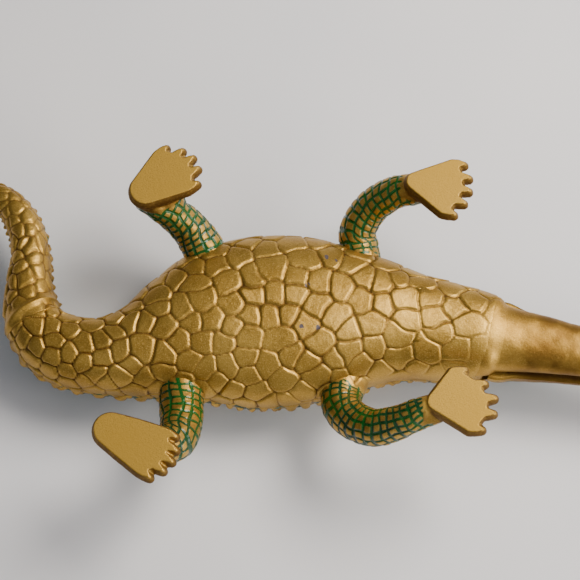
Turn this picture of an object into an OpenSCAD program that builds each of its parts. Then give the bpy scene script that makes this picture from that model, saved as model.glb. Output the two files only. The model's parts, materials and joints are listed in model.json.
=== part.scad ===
// Alligator-shaped hair clip, lying on its back.
// +X runs to the snout, +Z is the belly side, and Z = 0 is the surface that the back rests on.
// The design is laid out from the hinge pin: X = 0 and Y = 0 at the pin, and place() moves it to the
// middle of its own footprint.

/* [Body] */
// Half of the body's greatest width
body_half_w = 15; // [14:0.5:16]
// Height of the belly above the seam between the two body castings
belly_rise = 9; // [8.5:0.25:10]
// Depth of the back below the seam
back_drop = 8; // [7.5:0.25:8.25]
// Height of the seam above the resting surface
seam_z = 9.5; // [9.5:0.1:10]
// Wall of the hollow castings
wall = 1.3; // [1.1:0.1:1.5]
// Height of the flat soles above the resting surface
sole_z = 26; // [25:0.5:28]

/* [Jaws] */
// Length of the lower jaw ahead of the hinge pin
jaw_len = 43; // [38:1:46]
// Height of the hinge pin above the resting surface
pin_z = 11.5; // [11.3:0.1:12]
// Diameter of the hinge pin
pin_d = 2; // [1.6:0.1:2.2]
// Angle by which the jaws point up from the resting surface
jaw_lift = 2; // [1.5:0.25:3]
// Thickness of the stamped steel
sheet = 0.6; // [0.5:0.05:0.6]
// Pitch of the gripping teeth
tooth_pitch = 2; // [1.5:0.25:3]

/* [Lever and spring] */
// Distance from the hinge pin to the rear edge of the thumb plate
thumb_len = 34; // [30:1:35]
// Thickness of the thumb plate
thumb_t = 1.6; // [1.3:0.1:1.7]
// Wire of the torsion spring
wire_d = 0.7; // [0.5:0.05:0.7]
// Number of turns of the torsion spring
turns = 6; // [4:1:8]

/* [Scutes] */
// Number of fixed scutes in each row on the back
scute_count = 8; // [5:1:10]
// Number of scutes in each row on the thumb plate
thumb_scutes = 6; // [4:1:8]

/* [Hidden] */

GOLD = [0.66, 0.52, 0.26];
GREEN = [0.10, 0.38, 0.18];
STEEL = [0.72, 0.72, 0.74];
BRASS = [0.80, 0.66, 0.32];
DARK = [0.12, 0.12, 0.13];

squareness = 0.85;    // exponent that squares the ellipse of the body's section
ring_sides = 32;
round_sides = 32;
fit_gap = 0.15;       // side play between stampings and castings
run_gap = 0.06;       // radial clearance of the running hinge bores

// Spine from the neck to the tip of the tail: x, y, then half width, rise and drop as shares of the
// greatest ones.
SPINE = [
  [6.5, 0, 0.41, 0.81, 0.76], [4.6, 0.1, 0.47, 0.84, 0.78], [2.2, 0.2, 0.55, 0.86, 0.82],
  [-3, 0.1, 0.59, 0.86, 0.86], [-9, -0.1, 0.64, 0.88, 0.90], [-16, -0.6, 0.78, 0.94, 0.95],
  [-23, -1.8, 0.94, 0.98, 0.98], [-30, -3.2, 1.03, 1, 1], [-37, -5, 1.03, 1, 1],
  [-43, -7.3, 0.955, 0.99, 0.99], [-49, -10.7, 0.77, 0.94, 0.95], [-55, -14.2, 0.56, 0.86, 0.88],
  [-61, -16.3, 0.45, 0.77, 0.80], [-67, -16.6, 0.415, 0.71, 0.74], [-71.5, -15, 0.38, 0.65, 0.68],
  [-74.8, -11.5, 0.33, 0.6, 0.62], [-76.6, -6.5, 0.28, 0.52, 0.55], [-77.8, -1, 0.235, 0.46, 0.48],
  [-80, 3.9, 0.215, 0.40, 0.42], [-83.7, 7.8, 0.19, 0.34, 0.36], [-88, 9.6, 0.15, 0.27, 0.29],
  [-92, 9.9, 0.105, 0.19, 0.21], [-95.5, 9.5, 0.05, 0.09, 0.09]
];
spine_last = len(SPINE) - 1;
seam_u = 14.6;        // station of the joint between the body castings and the tail

// Routes of the legs' centre lines, hip to ankle: x, y, z and radius.
FRONT_LEFT = [
  [-18, -9.5, 10.5, 3.7], [-18.8, -15, 11.3, 3.6], [-18, -18.2, 13, 3.4], [-15.6, -20.3, 15, 3.3],
  [-12.2, -21.4, 17.5, 3.2], [-8.5, -20.5, 20.3, 2.9], [-5.8, -18.8, 23, 2.3], [-4, -17.4, 24.4, 1.5]
];
FRONT_RIGHT = [
  [-19.4, 7.5, 10.5, 3.7], [-21, 11.8, 11.5, 3.5], [-21.8, 14.6, 13.5, 3.3], [-20.2, 17.8, 16.6, 3.1],
  [-17, 19.6, 20.2, 2.9], [-14, 20.2, 22.8, 2.4], [-12, 20, 24.4, 1.5]
];
REAR_LEFT = [
  [-46.4, -16, 10.5, 4.1], [-45.4, -22, 12, 3.9], [-44.2, -26.6, 14.3, 3.6], [-44.2, -30.3, 17, 3.3],
  [-46.8, -32.6, 20, 3.0], [-50.4, -33, 22.4, 2.5], [-53, -32.6, 24.4, 1.6]
];
REAR_RIGHT = [
  [-45.6, 0.5, 10.5, 4.4], [-47.4, 5.2, 12, 3.9], [-50.3, 7.8, 15, 3.4], [-53.4, 8.6, 18.7, 3.0],
  [-56, 8.4, 22, 2.4], [-57.4, 8.4, 24.4, 1.6]
];

// Jaw castings, hinge to tip: share of the jaw's length, half width, and height from the mouth line.
LOWER_JAW = [
  [0.112, 5.85, 4.75], [0.15, 5.9, 4.8], [0.24, 5.4, 4.7], [0.36, 4.9, 4.5], [0.5, 4.35, 4.3],
  [0.66, 3.8, 4.0], [0.82, 3.45, 3.8], [0.91, 3.45, 3.7], [0.975, 2.7, 3.2], [1, 1.3, 2]
];
UPPER_JAW = [
  [0.12, 6.2, 7.7], [0.19, 6.3, 7.7], [0.28, 5.9, 6.7], [0.37, 5.4, 5.2], [0.5, 4.9, 4.5],
  [0.68, 4.4, 4.3], [0.83, 4.1, 4.2], [0.92, 4.1, 4], [0.985, 3.1, 3.3], [1.02, 1.5, 1.9]
];

// Stampings, in the jaws' own frame: X along the mouth line from the pin, Z towards the belly.
lower_ear_y = 4.9;                      // outer face of the lower arm's ears
upper_ear_y = lower_ear_y - sheet - 0.2;
toe_in = 3.85;                          // angle by which the arms' sides close towards the tip
arm_tip = jaw_len * 0.88;
arm_rear = -11;
ear_r = 2.3;
lower_web_z = 2.9;                      // outer face of the lower arm's web
upper_web_z = -3;
thumb_web_z = -6.5;
web_step = 0.05;                        // step from the edge of the upper arm's sides up to its web
teeth_from = 8;
tooth_h = 0.9;
mouth_gap = 0.25;                       // half of the gap between the castings at the hinge
mouth_slope = 0.02;                     // how the lower casting draws back towards the tip

coil_mean_r = 1.9;
coil_half = 3.1;
sleeve_r = coil_mean_r - wire_d / 2 - 0.05;

thumb_tilt = 7.5;                       // turn of the steel strip that follows the spine
strip_half = 2.8;
rivet_x = [-10, -26];
jaw_rivet_x = [14, 26];
rivet_r = 0.9;
rivet_head_r = 1.5;
rivet_head_h = 0.5;
opening_share = 0.44;                   // half width of the thumb opening, share of the body's own
opening_gap = 0.5;
rear_gap = 0.9;
neck_front = 4.6;
back_front = 1;                         // front rim of the back casting
head_rear = 3.5;                        // rear face of the head below the seam

screw_r = 1;
screw_play = 0.03;
screw_head_r = 1.9;
screw_head_h = 1.4;
recess_r = 2.1;
recess_z = 5;
pad_r = 2.4;
pad_z = 6.8;
post_r = 2;
post_top = 15.5;
// Case screws: share of the way along the spine, and offset to the side.
CASE_SCREWS = [[6.3, 10], [6.3, -10], [9.3, 6.5], [9.3, -6.5]];
arm_screw_x = -8.5;
arm_screw_y = 2.8;

foot_t = 2.4;
spigot_u = 0.7;       // length of the tail spigot, in stations of the spine
eye_r = 1.2;
eye_at = [10, 2.6, -6.5];

tail_tip_x = -96;
snout_x = jaw_len * 1.02;
side_min = -39.80;
side_max = 25.95;

// --- Splines and lofts -------------------------------------------------------------------------

function catmull(a, b, c, d, t) =
  0.5 * (2 * b + (c - a) * t + (2 * a - 5 * b + 4 * c - d) * t * t + (3 * b - a - 3 * c + d) * t * t * t);

function at(list, u) =
  let (n = len(list) - 1, i = min(floor(u), n - 1))
  catmull(list[max(i - 1, 0)], list[i], list[i + 1], list[min(i + 2, n)], u - i);

function heading(list, u) =
  let (n = len(list) - 1, d = at(list, min(u + 0.05, n)) - at(list, max(u - 0.05, 0)))
  d / norm([d.x, d.y]);

function squared(c) = sign(c) * pow(abs(c), squareness);

// Point of the body's surface at u along a spine and angle a round it, sunk by depth.
function skin_point(u, a, depth) =
  let (q = at(SPINE, u), h = heading(SPINE, u), side = squared(cos(a)) * (q[2] * body_half_w - depth),
       up = squared(sin(a)) * ((sin(a) > 0 ? q[3] * belly_rise : q[4] * back_drop) - depth))
  [q.x - h.y * side, q.y + h.x * side, seam_z + up];

function spine_ring(u, depth) =
  [for (j = [0 : ring_sides - 1]) skin_point(u, -360 * j / ring_sides, depth)];

// Closed solid through a list of rings that have the same number of points.
module loft(rings) {
  m = len(rings[0]);
  k = len(rings);
  polyhedron(
    points = [for (r = rings) each r],
    faces = concat(
      [[for (j = [m - 1 : -1 : 0]) j]],
      [for (i = [0 : k - 2]) for (j = [0 : m - 1]) each [
        [i * m + j, i * m + (j + 1) % m, (i + 1) * m + (j + 1) % m],
        [i * m + j, (i + 1) * m + (j + 1) % m, (i + 1) * m + j]
      ]],
      [[for (j = [0 : m - 1]) (k - 1) * m + j]]));
}

module spine_loft(u0, u1, depth, steps) {
  loft([for (i = [0 : steps]) spine_ring(u0 + (u1 - u0) * i / steps, depth)]);
}

body_steps = 32;
module body_outside() { spine_loft(0, seam_u, 0, body_steps); }
module body_inside(depth = wall) { spine_loft(0, seam_u + 0.15, depth, body_steps); }

// Plan outline round the spine, from u0 to u1, half a share of the body's width less a gap.
function strip_outline(u0, u1, share, gap) =
  let (steps = 10, us = [for (i = [0 : steps]) u0 + (u1 - u0) * i / steps],
       edge = function (u, s) let (q = at(SPINE, u), h = heading(SPINE, u),
                                   w = s * (share * q[2] * body_half_w - gap)) [q.x - h.y * w, q.y + h.x * w])
  concat([for (u = us) edge(u, 1)], [for (i = [steps : -1 : 0]) edge(us[i], -1)]);

// Where the spine reaches a given X, found by halving.
function spine_u(x, lo = 0, hi = spine_last, n = 14) =
  n == 0 ? (lo + hi) / 2
         : let (mid = (lo + hi) / 2) at(SPINE, mid).x > x ? spine_u(x, mid, hi, n - 1) : spine_u(x, lo, mid, n - 1);

module place() {
  translate([-(tail_tip_x + snout_x) / 2, -(side_min + side_max) / 2, 0]) children();
}

module jaw_frame() {
  translate([0, 0, pin_z]) rotate([0, -jaw_lift, 0]) children();
}

module slab(z0, z1) {
  translate([-100, -60, z0]) cube([160, 120, z1 - z0]);
}

module from_x(x0, x1) {
  translate([x0, -60, -10]) cube([x1 - x0, 120, 60]);
}

function side_point(u, offset) =
  let (q = at(SPINE, u), h = heading(SPINE, u)) [q.x - h.y * offset, q.y + h.x * offset];

// --- Body castings -----------------------------------------------------------------------------

module post(xy, r, z0, z1) {
  translate([xy.x, xy.y, z0]) cylinder(r = r, h = z1 - z0, $fn = round_sides);
}

stop_xy = [-20, -1.6];
stop_z = 9.75;

// Boss with a flared root, rising from z0 into the belly.
module boss(xy, z0, z1) {
  hull() {
    post(xy, post_r, z0, z0 + 1);
    post(xy, post_r * 1.2, z1 - 1, z1);
  }
}

module belly_shell() color(GOLD) place() difference() {
  union() {
    difference() {
      body_outside();
      body_inside();
      slab(-1, seam_z);
      from_x(neck_front, 20);
    }
    intersection() {
      body_outside();
      union() {
        for (s = CASE_SCREWS) boss(side_point(s[0], s[1]), pad_z, 22);
        boss(stop_xy, stop_z, 22);
        jaw_frame() {
          for (s = [-1, 1]) boss([arm_screw_x, s * arm_screw_y], lower_web_z, 12);
          // Rib that ties the two bosses of the steel arm together.
          hull() for (s = [-1, 1]) post([arm_screw_x, s * arm_screw_y], 0.5, lower_web_z + 0.4, 12);
        }
      }
    }
  }
  for (s = CASE_SCREWS) post(side_point(s[0], s[1]), screw_r + screw_play, pad_z - 1, 13);
  jaw_frame() for (s = [-1, 1])
    post([arm_screw_x, s * arm_screw_y], screw_r + screw_play, lower_web_z - 1, lower_web_z + 1.55);
}

// Scute: a bony plate with a short keel along the spine, its tip at height z.
module scute(xy, z, h, r, turn) {
  translate([xy.x, xy.y, z]) rotate(turn) hull() {
    translate([-r * 0.5, -r * 0.12, 0]) cube([r, r * 0.24, h / 2]);
    translate([0, 0, h * 0.6]) cylinder(r = r, h = h * 0.4, $fn = 12);
  }
}

function spine_turn(u) = let (h = heading(SPINE, u)) atan2(h.y, h.x);

module back_scutes() {
  for (side = [-1, 1]) for (i = [0 : scute_count - 1]) {
    u = 4.6 + i * 5.6 / (scute_count - 1);
    w = at(SPINE, u)[2] * body_half_w;
    scute(side_point(u, side * w * 0.6), 0, 3.6, 1.9, spine_turn(u));
  }
}

module back_shell() color(GOLD) place() difference() {
  union() {
    difference() {
      body_outside();
      body_inside();
      slab(seam_z, 30);
      from_x(back_front, 20);
      linear_extrude(30, center = true)
        polygon(strip_outline(0.3, spine_u(-thumb_len - rear_gap), opening_share, 0));
    }
    intersection() {
      body_outside();
      for (s = CASE_SCREWS) post(side_point(s[0], s[1]), pad_r, 0, pad_z);
    }
    difference() {
      back_scutes();
      body_inside(wall / 2);
    }
  }
  for (s = CASE_SCREWS) {
    post(side_point(s[0], s[1]), screw_r + screw_play, 0, pad_z + 1);
    post(side_point(s[0], s[1]), recess_r, -1, recess_z);
  }
}

module tail_end() color(GOLD) place() spine_loft(seam_u, spine_last, 0, 20);

// Spigot inside the joint between body and tail: a short tube that lines the end of the body.
module tail_spigot() color(GOLD) place() difference() {
  spine_loft(seam_u - spigot_u, seam_u, wall + 0.1, 4);
  spine_loft(seam_u - spigot_u - 0.1, seam_u + 0.1, wall + 1, 5);
}

// --- Legs --------------------------------------------------------------------------------------

leg_sides = 14;

function leg_ring(route, u) =
  let (n = len(route) - 1, q = at(route, u), a = at(route, min(u + 0.05, n)), b = at(route, max(u - 0.05, 0)),
       t = [a.x - b.x, a.y - b.y, a.z - b.z], along = t / norm(t), across0 = cross(along, [0, 0, 1]),
       across = across0 / norm(across0), up = cross(across, along))
  [for (j = [0 : leg_sides - 1])
    [q.x, q.y, q.z] + q[3] * (cos(360 * j / leg_sides) * across + sin(360 * j / leg_sides) * up)];

// Flat-soled foot with its heel at the origin and its toes along +X. The five toes end on a bow that
// falls off by bow times the square of a toe's number, and leans by slant.
module foot(length, half_w, heel_r, bow, slant) {
  module pad(x, y, r) translate([x, y, 0]) {
    cylinder(r1 = r - 0.3, r2 = r, h = 1.2, $fn = 16);
    translate([0, 0, 1.2]) cylinder(r1 = r, r2 = r - 0.4, h = foot_t - 1.2, $fn = 16);
  }
  function tip(k) = length - 0.8 - bow * k * k - slant * k;
  hull() {
    pad(heel_r, 0, heel_r);
    pad(length * 0.47, 0, (heel_r + half_w) / 2 + 0.1);
    for (k = [-2 : 2]) pad(tip(k) - 2, k * (half_w - 1.1) / 2, 1.1);
  }
  hull() {
    pad(length * 0.6, 0, 2);
    translate([heel_r + 1.4, 0, -0.9]) cylinder(r = 1.4, h = 1, $fn = 16);
  }
  for (k = [-2 : 2]) hull() {
    pad(tip(k) - 2, k * (half_w - 1.1) / 2, 1.1);
    pad(tip(k), k * (half_w - 0.8) / 2, 0.8);
  }
}

module leg(route, heel, turn, length, half_w, heel_r, bow, slant) color(GOLD) place() difference() {
  ankle = route[len(route) - 3];
  union() {
    intersection() {
      loft([for (i = [0 : 16]) leg_ring(route, (len(route) - 1) * i / 16)]);
      slab(0, sole_z);
    }
    translate([heel.x, heel.y, sole_z - foot_t]) rotate(turn) foot(length, half_w, heel_r, bow, slant);
    hull() {
      translate([heel.x, heel.y, sole_z - foot_t]) rotate(turn)
        translate([heel_r, 0, -1.8]) cylinder(r = heel_r * 0.85, h = 2.8, $fn = 16);
      translate([ankle.x, ankle.y, ankle.z]) sphere(r = ankle[3] * 0.94, $fn = 16);
    }
  }
  body_outside();
}

module front_left_leg() { leg(FRONT_LEFT, [-4.95, -17.9], 16, 12.2, 5.9, 1.9, 0.86, 0.43); }
module front_right_leg() { leg(FRONT_RIGHT, [-15.4, 20.2], 1.5, 12, 5.5, 2, 0.42, -0.1); }
module rear_left_leg() { leg(REAR_LEFT, [-56.85, -31.8], -16, 15.2, 4.7, 3.1, 0.42, -0.1); }
module rear_right_leg() { leg(REAR_RIGHT, [-60, 7.1], 49.5, 13.8, 5.1, 3.1, 0.6, 0.05); }

// --- Jaws --------------------------------------------------------------------------------------

jaw_sides = 20;

// Half-round section with its flat face at z_face, reaching h beyond z = 0; side is 1 or -1.
function jaw_ring(s, z_face, side) =
  let (x = s[0] * jaw_len)
  [for (j = [0 : jaw_sides])
    let (a = 180 * j / jaw_sides)
    [x, s[1] * squared(cos(a)), z_face + side * squared(sin(a)) * (s[2] - abs(z_face))]];

function mouth_face(x) = mouth_gap + mouth_slope * max(x, 0);

module lower_jaw_outside() {
  steps = 26;
  last = len(LOWER_JAW) - 1;
  loft([for (i = [0 : steps]) let (s = at(LOWER_JAW, last * i / steps))
    [for (j = [jaw_sides : -1 : 0]) jaw_ring(s, mouth_face(s[0] * jaw_len), 1)[j]]]);
}

// Tapered plan of an arm between two X stations: half width y at the pin, closing by the toe-in.
module arm_plan(x0, x1, y) {
  polygon([[x0, y - x0 * tan(toe_in)], [x1, y - x1 * tan(toe_in)],
           [x1, x1 * tan(toe_in) - y], [x0, x0 * tan(toe_in) - y]]);
}

module lower_jaw() color(GOLD) place() jaw_frame() difference() {
  lower_jaw_outside();
  translate([0, 0, -1]) linear_extrude(lower_web_z + 1) arm_plan(-1, arm_tip + 0.3, lower_ear_y + fit_gap);
}

module head_outside() {
  steps = 26;
  last = len(UPPER_JAW) - 1;
  loft([for (i = [0 : steps]) jaw_ring(at(UPPER_JAW, last * i / steps), -mouth_gap, -1)]);
}

// Side wings of the head that reach back inside the neck, so that the hinge gap stays closed.
module head_wings() {
  play = 0.4;
  difference() {
    intersection() {
      body_inside(wall + play);
      slab(4.5, seam_z - 0.6);
      from_x(-3.5, 6.5);
    }
    body_inside(wall + play + 0.9);
    translate([-10, -lower_ear_y - play, 0]) cube([20, 2 * (lower_ear_y + play), 20]);
  }
}

module upper_jaw() color(GOLD) place() difference() {
  union() {
    jaw_frame() head_outside();
    head_wings();
    intersection() {
      body_outside();
      from_x(head_rear, 6);
      slab(0, seam_z - 0.6);
    }
  }
  jaw_frame() {
    translate([0, 0, upper_web_z]) linear_extrude(10) arm_plan(0, arm_tip + 0.3, upper_ear_y + fit_gap);
    translate([-10, -lower_ear_y - fit_gap, thumb_web_z]) cube([15.6, 2 * (lower_ear_y + fit_gap), 10]);
    for (side = [-1, 1]) translate([eye_at.x, side * eye_at.y, eye_at.z]) sphere(r = eye_r, $fn = round_sides);
    for (x = jaw_rivet_x) post([x, 0], rivet_r, upper_web_z - 0.9, 0);
  }
}

module eye(side) color(DARK) place() jaw_frame()
  translate([eye_at.x, side * eye_at.y, eye_at.z]) sphere(r = eye_r, $fn = round_sides);
module left_eye() { eye(-1); }
module right_eye() { eye(1); }

module thumb_plate() color(GOLD) place() difference() {
  union() {
    intersection() {
      difference() {
        body_outside();
        body_inside(thumb_t);
        slab(seam_z - 2, 30);
      }
      translate([0, 0, -1])
        linear_extrude(seam_z)
          polygon(strip_outline(spine_u(head_rear - 0.3), spine_u(-thumb_len), opening_share, opening_gap));
    }
    jaw_frame() rotate(thumb_tilt) for (x = rivet_x) post([x, 0], 2, thumb_web_z - 0.9, thumb_web_z);
    difference() {
      for (side = [-1, 1]) for (i = [0 : thumb_scutes - 1])
        let (u = 3.6 + i * 3.6 / (thumb_scutes - 1))
          scute(side_point(u, side * 2.4), 0.75, 2, 1.5, spine_turn(u));
      body_inside(thumb_t / 2);
    }
  }
  jaw_frame() rotate(thumb_tilt) for (x = rivet_x) post([x, 0], rivet_r, thumb_web_z - 0.8, 0);
}

// --- Stamped arms ------------------------------------------------------------------------------

// Saw-toothed edge from teeth_from to the arm's tip: roots at z0, points at z0 + dir * tooth_h.
function saw(z0, dir) =
  let (n = floor((arm_tip - teeth_from) / tooth_pitch))
  [for (i = [0 : n - 1]) each [
    [teeth_from + i * tooth_pitch, z0],
    [teeth_from + (i + 0.5) * tooth_pitch, z0 + dir * tooth_h]
  ]];

// Side of an arm: a plate standing across Y at the given distance, closing by the toe-in.
module arm_side(side, y) {
  scale_y = side > 0 ? 0 : 1;
  translate([0, side * y, 0]) rotate(-side * toe_in) translate([0, scale_y * sheet, 0])
    rotate([90, 0, 0]) linear_extrude(sheet) children();
}

module lower_profile() {
  circle(r = ear_r, $fn = round_sides);
  polygon(concat(
    [[-3.5, lower_web_z], [-2.2, 0.6], [1.8, -0.6], [6, 0.8]],
    saw(0.8, -1),
    [[arm_tip, 0.8], [arm_tip, lower_web_z], [8, lower_web_z], [6, 1.6], [2.2, 1.6], [0.8, lower_web_z]]));
}

module upper_profile() {
  circle(r = ear_r, $fn = round_sides);
  polygon(concat(
    [[-4, thumb_web_z], [-4, thumb_web_z + 1.6], [-2.2, 0.6], [2.2, 0.6], [5, -0.8]],
    saw(-0.8, 1),
    [[arm_tip, -0.8], [arm_tip, upper_web_z], [5.6, upper_web_z], [2, thumb_web_z]]));
}

module pin_bore(r) {
  rotate([90, 0, 0]) cylinder(r = r, h = 16, center = true, $fn = 48);
}

module lower_arm() color(STEEL) place() jaw_frame() difference() {
  union() {
    for (side = [-1, 1]) arm_side(side, lower_ear_y) lower_profile();
    translate([0, 0, lower_web_z - sheet]) linear_extrude(sheet) {
      arm_plan(8.3, arm_tip - 0.4, lower_ear_y - sheet / 2);
      arm_plan(-3.2, -2.5, lower_ear_y - sheet / 2);
      translate([arm_rear, 0.6 - lower_ear_y]) square([8.5, 2 * lower_ear_y - 1.2]);
    }
  }
  pin_bore(pin_d / 2);
  for (s = [-1, 1]) post([arm_screw_x, s * arm_screw_y], screw_r, 0, 6);
}

module upper_arm() color(STEEL) place() jaw_frame() difference() {
  union() {
    for (side = [-1, 1]) arm_side(side, upper_ear_y) upper_profile();
    translate([0, 0, upper_web_z + web_step]) linear_extrude(sheet)
      arm_plan(6, arm_tip - 0.4, upper_ear_y - sheet / 2);
    translate([0, 0, thumb_web_z]) linear_extrude(sheet) {
      arm_plan(-3.6, 1.6, upper_ear_y - sheet / 2);
      rotate(thumb_tilt) translate([2 - thumb_len, -strip_half]) square([thumb_len - 4, 2 * strip_half]);
    }
  }
  pin_bore(pin_d / 2 + run_gap);
  rotate(thumb_tilt) for (x = rivet_x) post([x, 0], rivet_r, thumb_web_z - 1, 0);
  for (x = jaw_rivet_x) post([x, 0], rivet_r, upper_web_z - 1, 0);
}

// --- Pins, spring and fasteners ----------------------------------------------------------------

module hinge_pin() color(STEEL) place() jaw_frame() {
  half = lower_ear_y + 0.4;
  rotate([90, 0, 0]) {
    cylinder(r = pin_d / 2, h = 2 * half, center = true, $fn = 48);
    translate([0, 0, lower_ear_y + 0.2]) cylinder(r = pin_d / 2 + 0.5, h = 0.5, $fn = 48);
  }
}

module pin_sleeve() color(BRASS) place() jaw_frame() rotate([90, 0, 0]) difference() {
  cylinder(r = sleeve_r, h = 2 * coil_half, center = true, $fn = 48);
  cylinder(r = pin_d / 2, h = 10, center = true, $fn = 48);
}

// The coil as the tube that it fills, with its two straight tails.
module torsion_spring() color(STEEL) place() jaw_frame() {
  coil_len = turns * wire_d;
  rotate([90, 0, 0]) difference() {
    cylinder(r = coil_mean_r + wire_d / 2, h = coil_len, center = true, $fn = 48);
    cylinder(r = coil_mean_r - wire_d / 2, h = coil_len + 1, center = true, $fn = 48);
  }
  tail_y = coil_len / 2 - wire_d / 2;
  tail_r = wire_d / 2 - 0.03;
  translate([0, tail_y, coil_mean_r]) rotate([0, -90, 0]) cylinder(r = tail_r, h = 7, $fn = 32);
  translate([0, -tail_y, -coil_mean_r]) rotate([0, -118, 0]) cylinder(r = tail_r, h = 7.5, $fn = 32);
}

module screw(xy, z, shank, dir) {
  post(xy, screw_r, min(z, z + dir * shank), max(z, z + dir * shank));
  post(xy, screw_head_r, min(z, z - dir * screw_head_h), max(z, z - dir * screw_head_h));
}

module case_screws() color(BRASS) place()
  for (s = CASE_SCREWS) screw(side_point(s[0], s[1]), recess_z, 7.5, 1);

module lower_arm_screws() color(STEEL) place() jaw_frame()
  for (s = [-1, 1]) {
    post([arm_screw_x, s * arm_screw_y], screw_r, lower_web_z - sheet, lower_web_z + 1.5);
    post([arm_screw_x, s * arm_screw_y], 1.7, lower_web_z - sheet - 0.9, lower_web_z - sheet);
  }

module rivet(x, z) {
  post([x, 0], rivet_r, z - 0.75, z + sheet);
  post([x, 0], rivet_head_r, z + sheet, z + sheet + rivet_head_h);
}

module upper_arm_rivets() color(STEEL) place() jaw_frame() {
  rotate(thumb_tilt) for (x = rivet_x) rivet(x, thumb_web_z);
  for (x = jaw_rivet_x) rivet(x, upper_web_z + web_step);
}

belly_shell();
back_shell();
tail_end();
tail_spigot();
front_left_leg();
front_right_leg();
rear_left_leg();
rear_right_leg();
lower_jaw();
lower_arm();
lower_arm_screws();
hinge_pin();
pin_sleeve();
torsion_spring();
case_screws();
upper_jaw();
thumb_plate();
upper_arm();
upper_arm_rivets();
left_eye();
right_eye();
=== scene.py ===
"""Alligator-shaped hair clip: skins, fasteners, spring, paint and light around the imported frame.

Shapes are worked out in layout millimetres: X = 0 and Y = 0 at the hinge pin, Z = 0 on the surface that
the back rests on, and Z up to the belly. finished() moves them to the frame's own metres.
"""
import json
import math

import bmesh
import bpy
import numpy as np
from mathutils import Matrix, Vector


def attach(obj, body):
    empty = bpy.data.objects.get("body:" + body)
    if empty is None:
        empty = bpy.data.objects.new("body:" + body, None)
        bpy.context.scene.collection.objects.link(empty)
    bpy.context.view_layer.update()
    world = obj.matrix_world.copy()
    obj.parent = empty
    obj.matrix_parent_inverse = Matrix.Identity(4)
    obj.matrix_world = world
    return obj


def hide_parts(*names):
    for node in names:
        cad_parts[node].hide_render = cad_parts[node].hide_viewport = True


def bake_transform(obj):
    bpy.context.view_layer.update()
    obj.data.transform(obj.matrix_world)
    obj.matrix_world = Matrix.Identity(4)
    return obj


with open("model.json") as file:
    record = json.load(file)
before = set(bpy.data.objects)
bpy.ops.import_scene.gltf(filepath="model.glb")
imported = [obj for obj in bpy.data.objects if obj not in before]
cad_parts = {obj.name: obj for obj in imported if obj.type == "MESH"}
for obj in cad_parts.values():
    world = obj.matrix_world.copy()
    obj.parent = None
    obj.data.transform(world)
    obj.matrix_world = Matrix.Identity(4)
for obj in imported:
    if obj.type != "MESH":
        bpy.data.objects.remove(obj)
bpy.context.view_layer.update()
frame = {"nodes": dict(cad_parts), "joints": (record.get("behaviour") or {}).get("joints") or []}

MM = 0.001
PIN = Vector(frame["joints"][0]["pos_m"])
SHIFT = np.array([PIN.x / MM, PIN.y / MM, 0.0])

# --- Driving dimensions of the casting, as in the CAD model ---

BODY_HALF_W, BELLY_RISE, BACK_DROP = 15.0, 9.0, 8.0
SEAM_Z, WALL, SOLE_Z = 9.5, 1.3, 26.0
SQUARENESS = 0.85
JAW_LEN, JAW_LIFT = 43.0, math.radians(2)
PIN_Z = PIN.z / MM
THUMB_LEN, THUMB_T = 34.0, 1.6
OPENING_SHARE, OPENING_GAP, REAR_GAP = 0.44, 0.5, 0.9
NECK_FRONT, BACK_FRONT, HEAD_REAR = 4.6, 1.0, 3.5
SEAM_U = 14.6
LOWER_EAR_Y, UPPER_EAR_Y, TOE_IN = 4.9, 4.1, math.radians(3.85)
LOWER_WEB_Z, UPPER_WEB_Z, THUMB_WEB_Z = 2.9, -3.0, -6.5
SHEET, FIT_GAP = 0.6, 0.15
ARM_TIP = JAW_LEN * 0.88
THUMB_TILT = math.radians(7.5)
WIRE_R, COIL_R, TURNS = 0.33, 1.9, 5
EYE_AT, EYE_R = (10.0, 2.6, -6.5), 1.2
FOOT_T = 2.4
RIM_BACK, THIN = 0.3, 0.2            # how far the back's front rim and its inside are set back for the arm

# Spine from the neck to the tip of the tail: x, y, then half width, rise and drop as shares.
SPINE = np.array([
    [6.5, 0, 0.41, 0.81, 0.76], [4.6, 0.1, 0.47, 0.84, 0.78], [2.2, 0.2, 0.55, 0.86, 0.82],
    [-3, 0.1, 0.59, 0.86, 0.86], [-9, -0.1, 0.64, 0.88, 0.90], [-16, -0.6, 0.78, 0.94, 0.95],
    [-23, -1.8, 0.94, 0.98, 0.98], [-30, -3.2, 1.03, 1, 1], [-37, -5, 1.03, 1, 1],
    [-43, -7.3, 0.955, 0.99, 0.99], [-49, -10.7, 0.77, 0.94, 0.95], [-55, -14.2, 0.56, 0.86, 0.88],
    [-61, -16.3, 0.45, 0.77, 0.80], [-67, -16.6, 0.415, 0.71, 0.74], [-71.5, -15, 0.38, 0.65, 0.68],
    [-74.8, -11.5, 0.33, 0.6, 0.62], [-76.6, -6.5, 0.28, 0.52, 0.55], [-77.8, -1, 0.235, 0.46, 0.48],
    [-80, 3.9, 0.215, 0.40, 0.42], [-83.7, 7.8, 0.19, 0.34, 0.36], [-88, 9.6, 0.15, 0.27, 0.29],
    [-92, 9.9, 0.105, 0.19, 0.21], [-95.5, 9.5, 0.05, 0.09, 0.09]])

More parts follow.
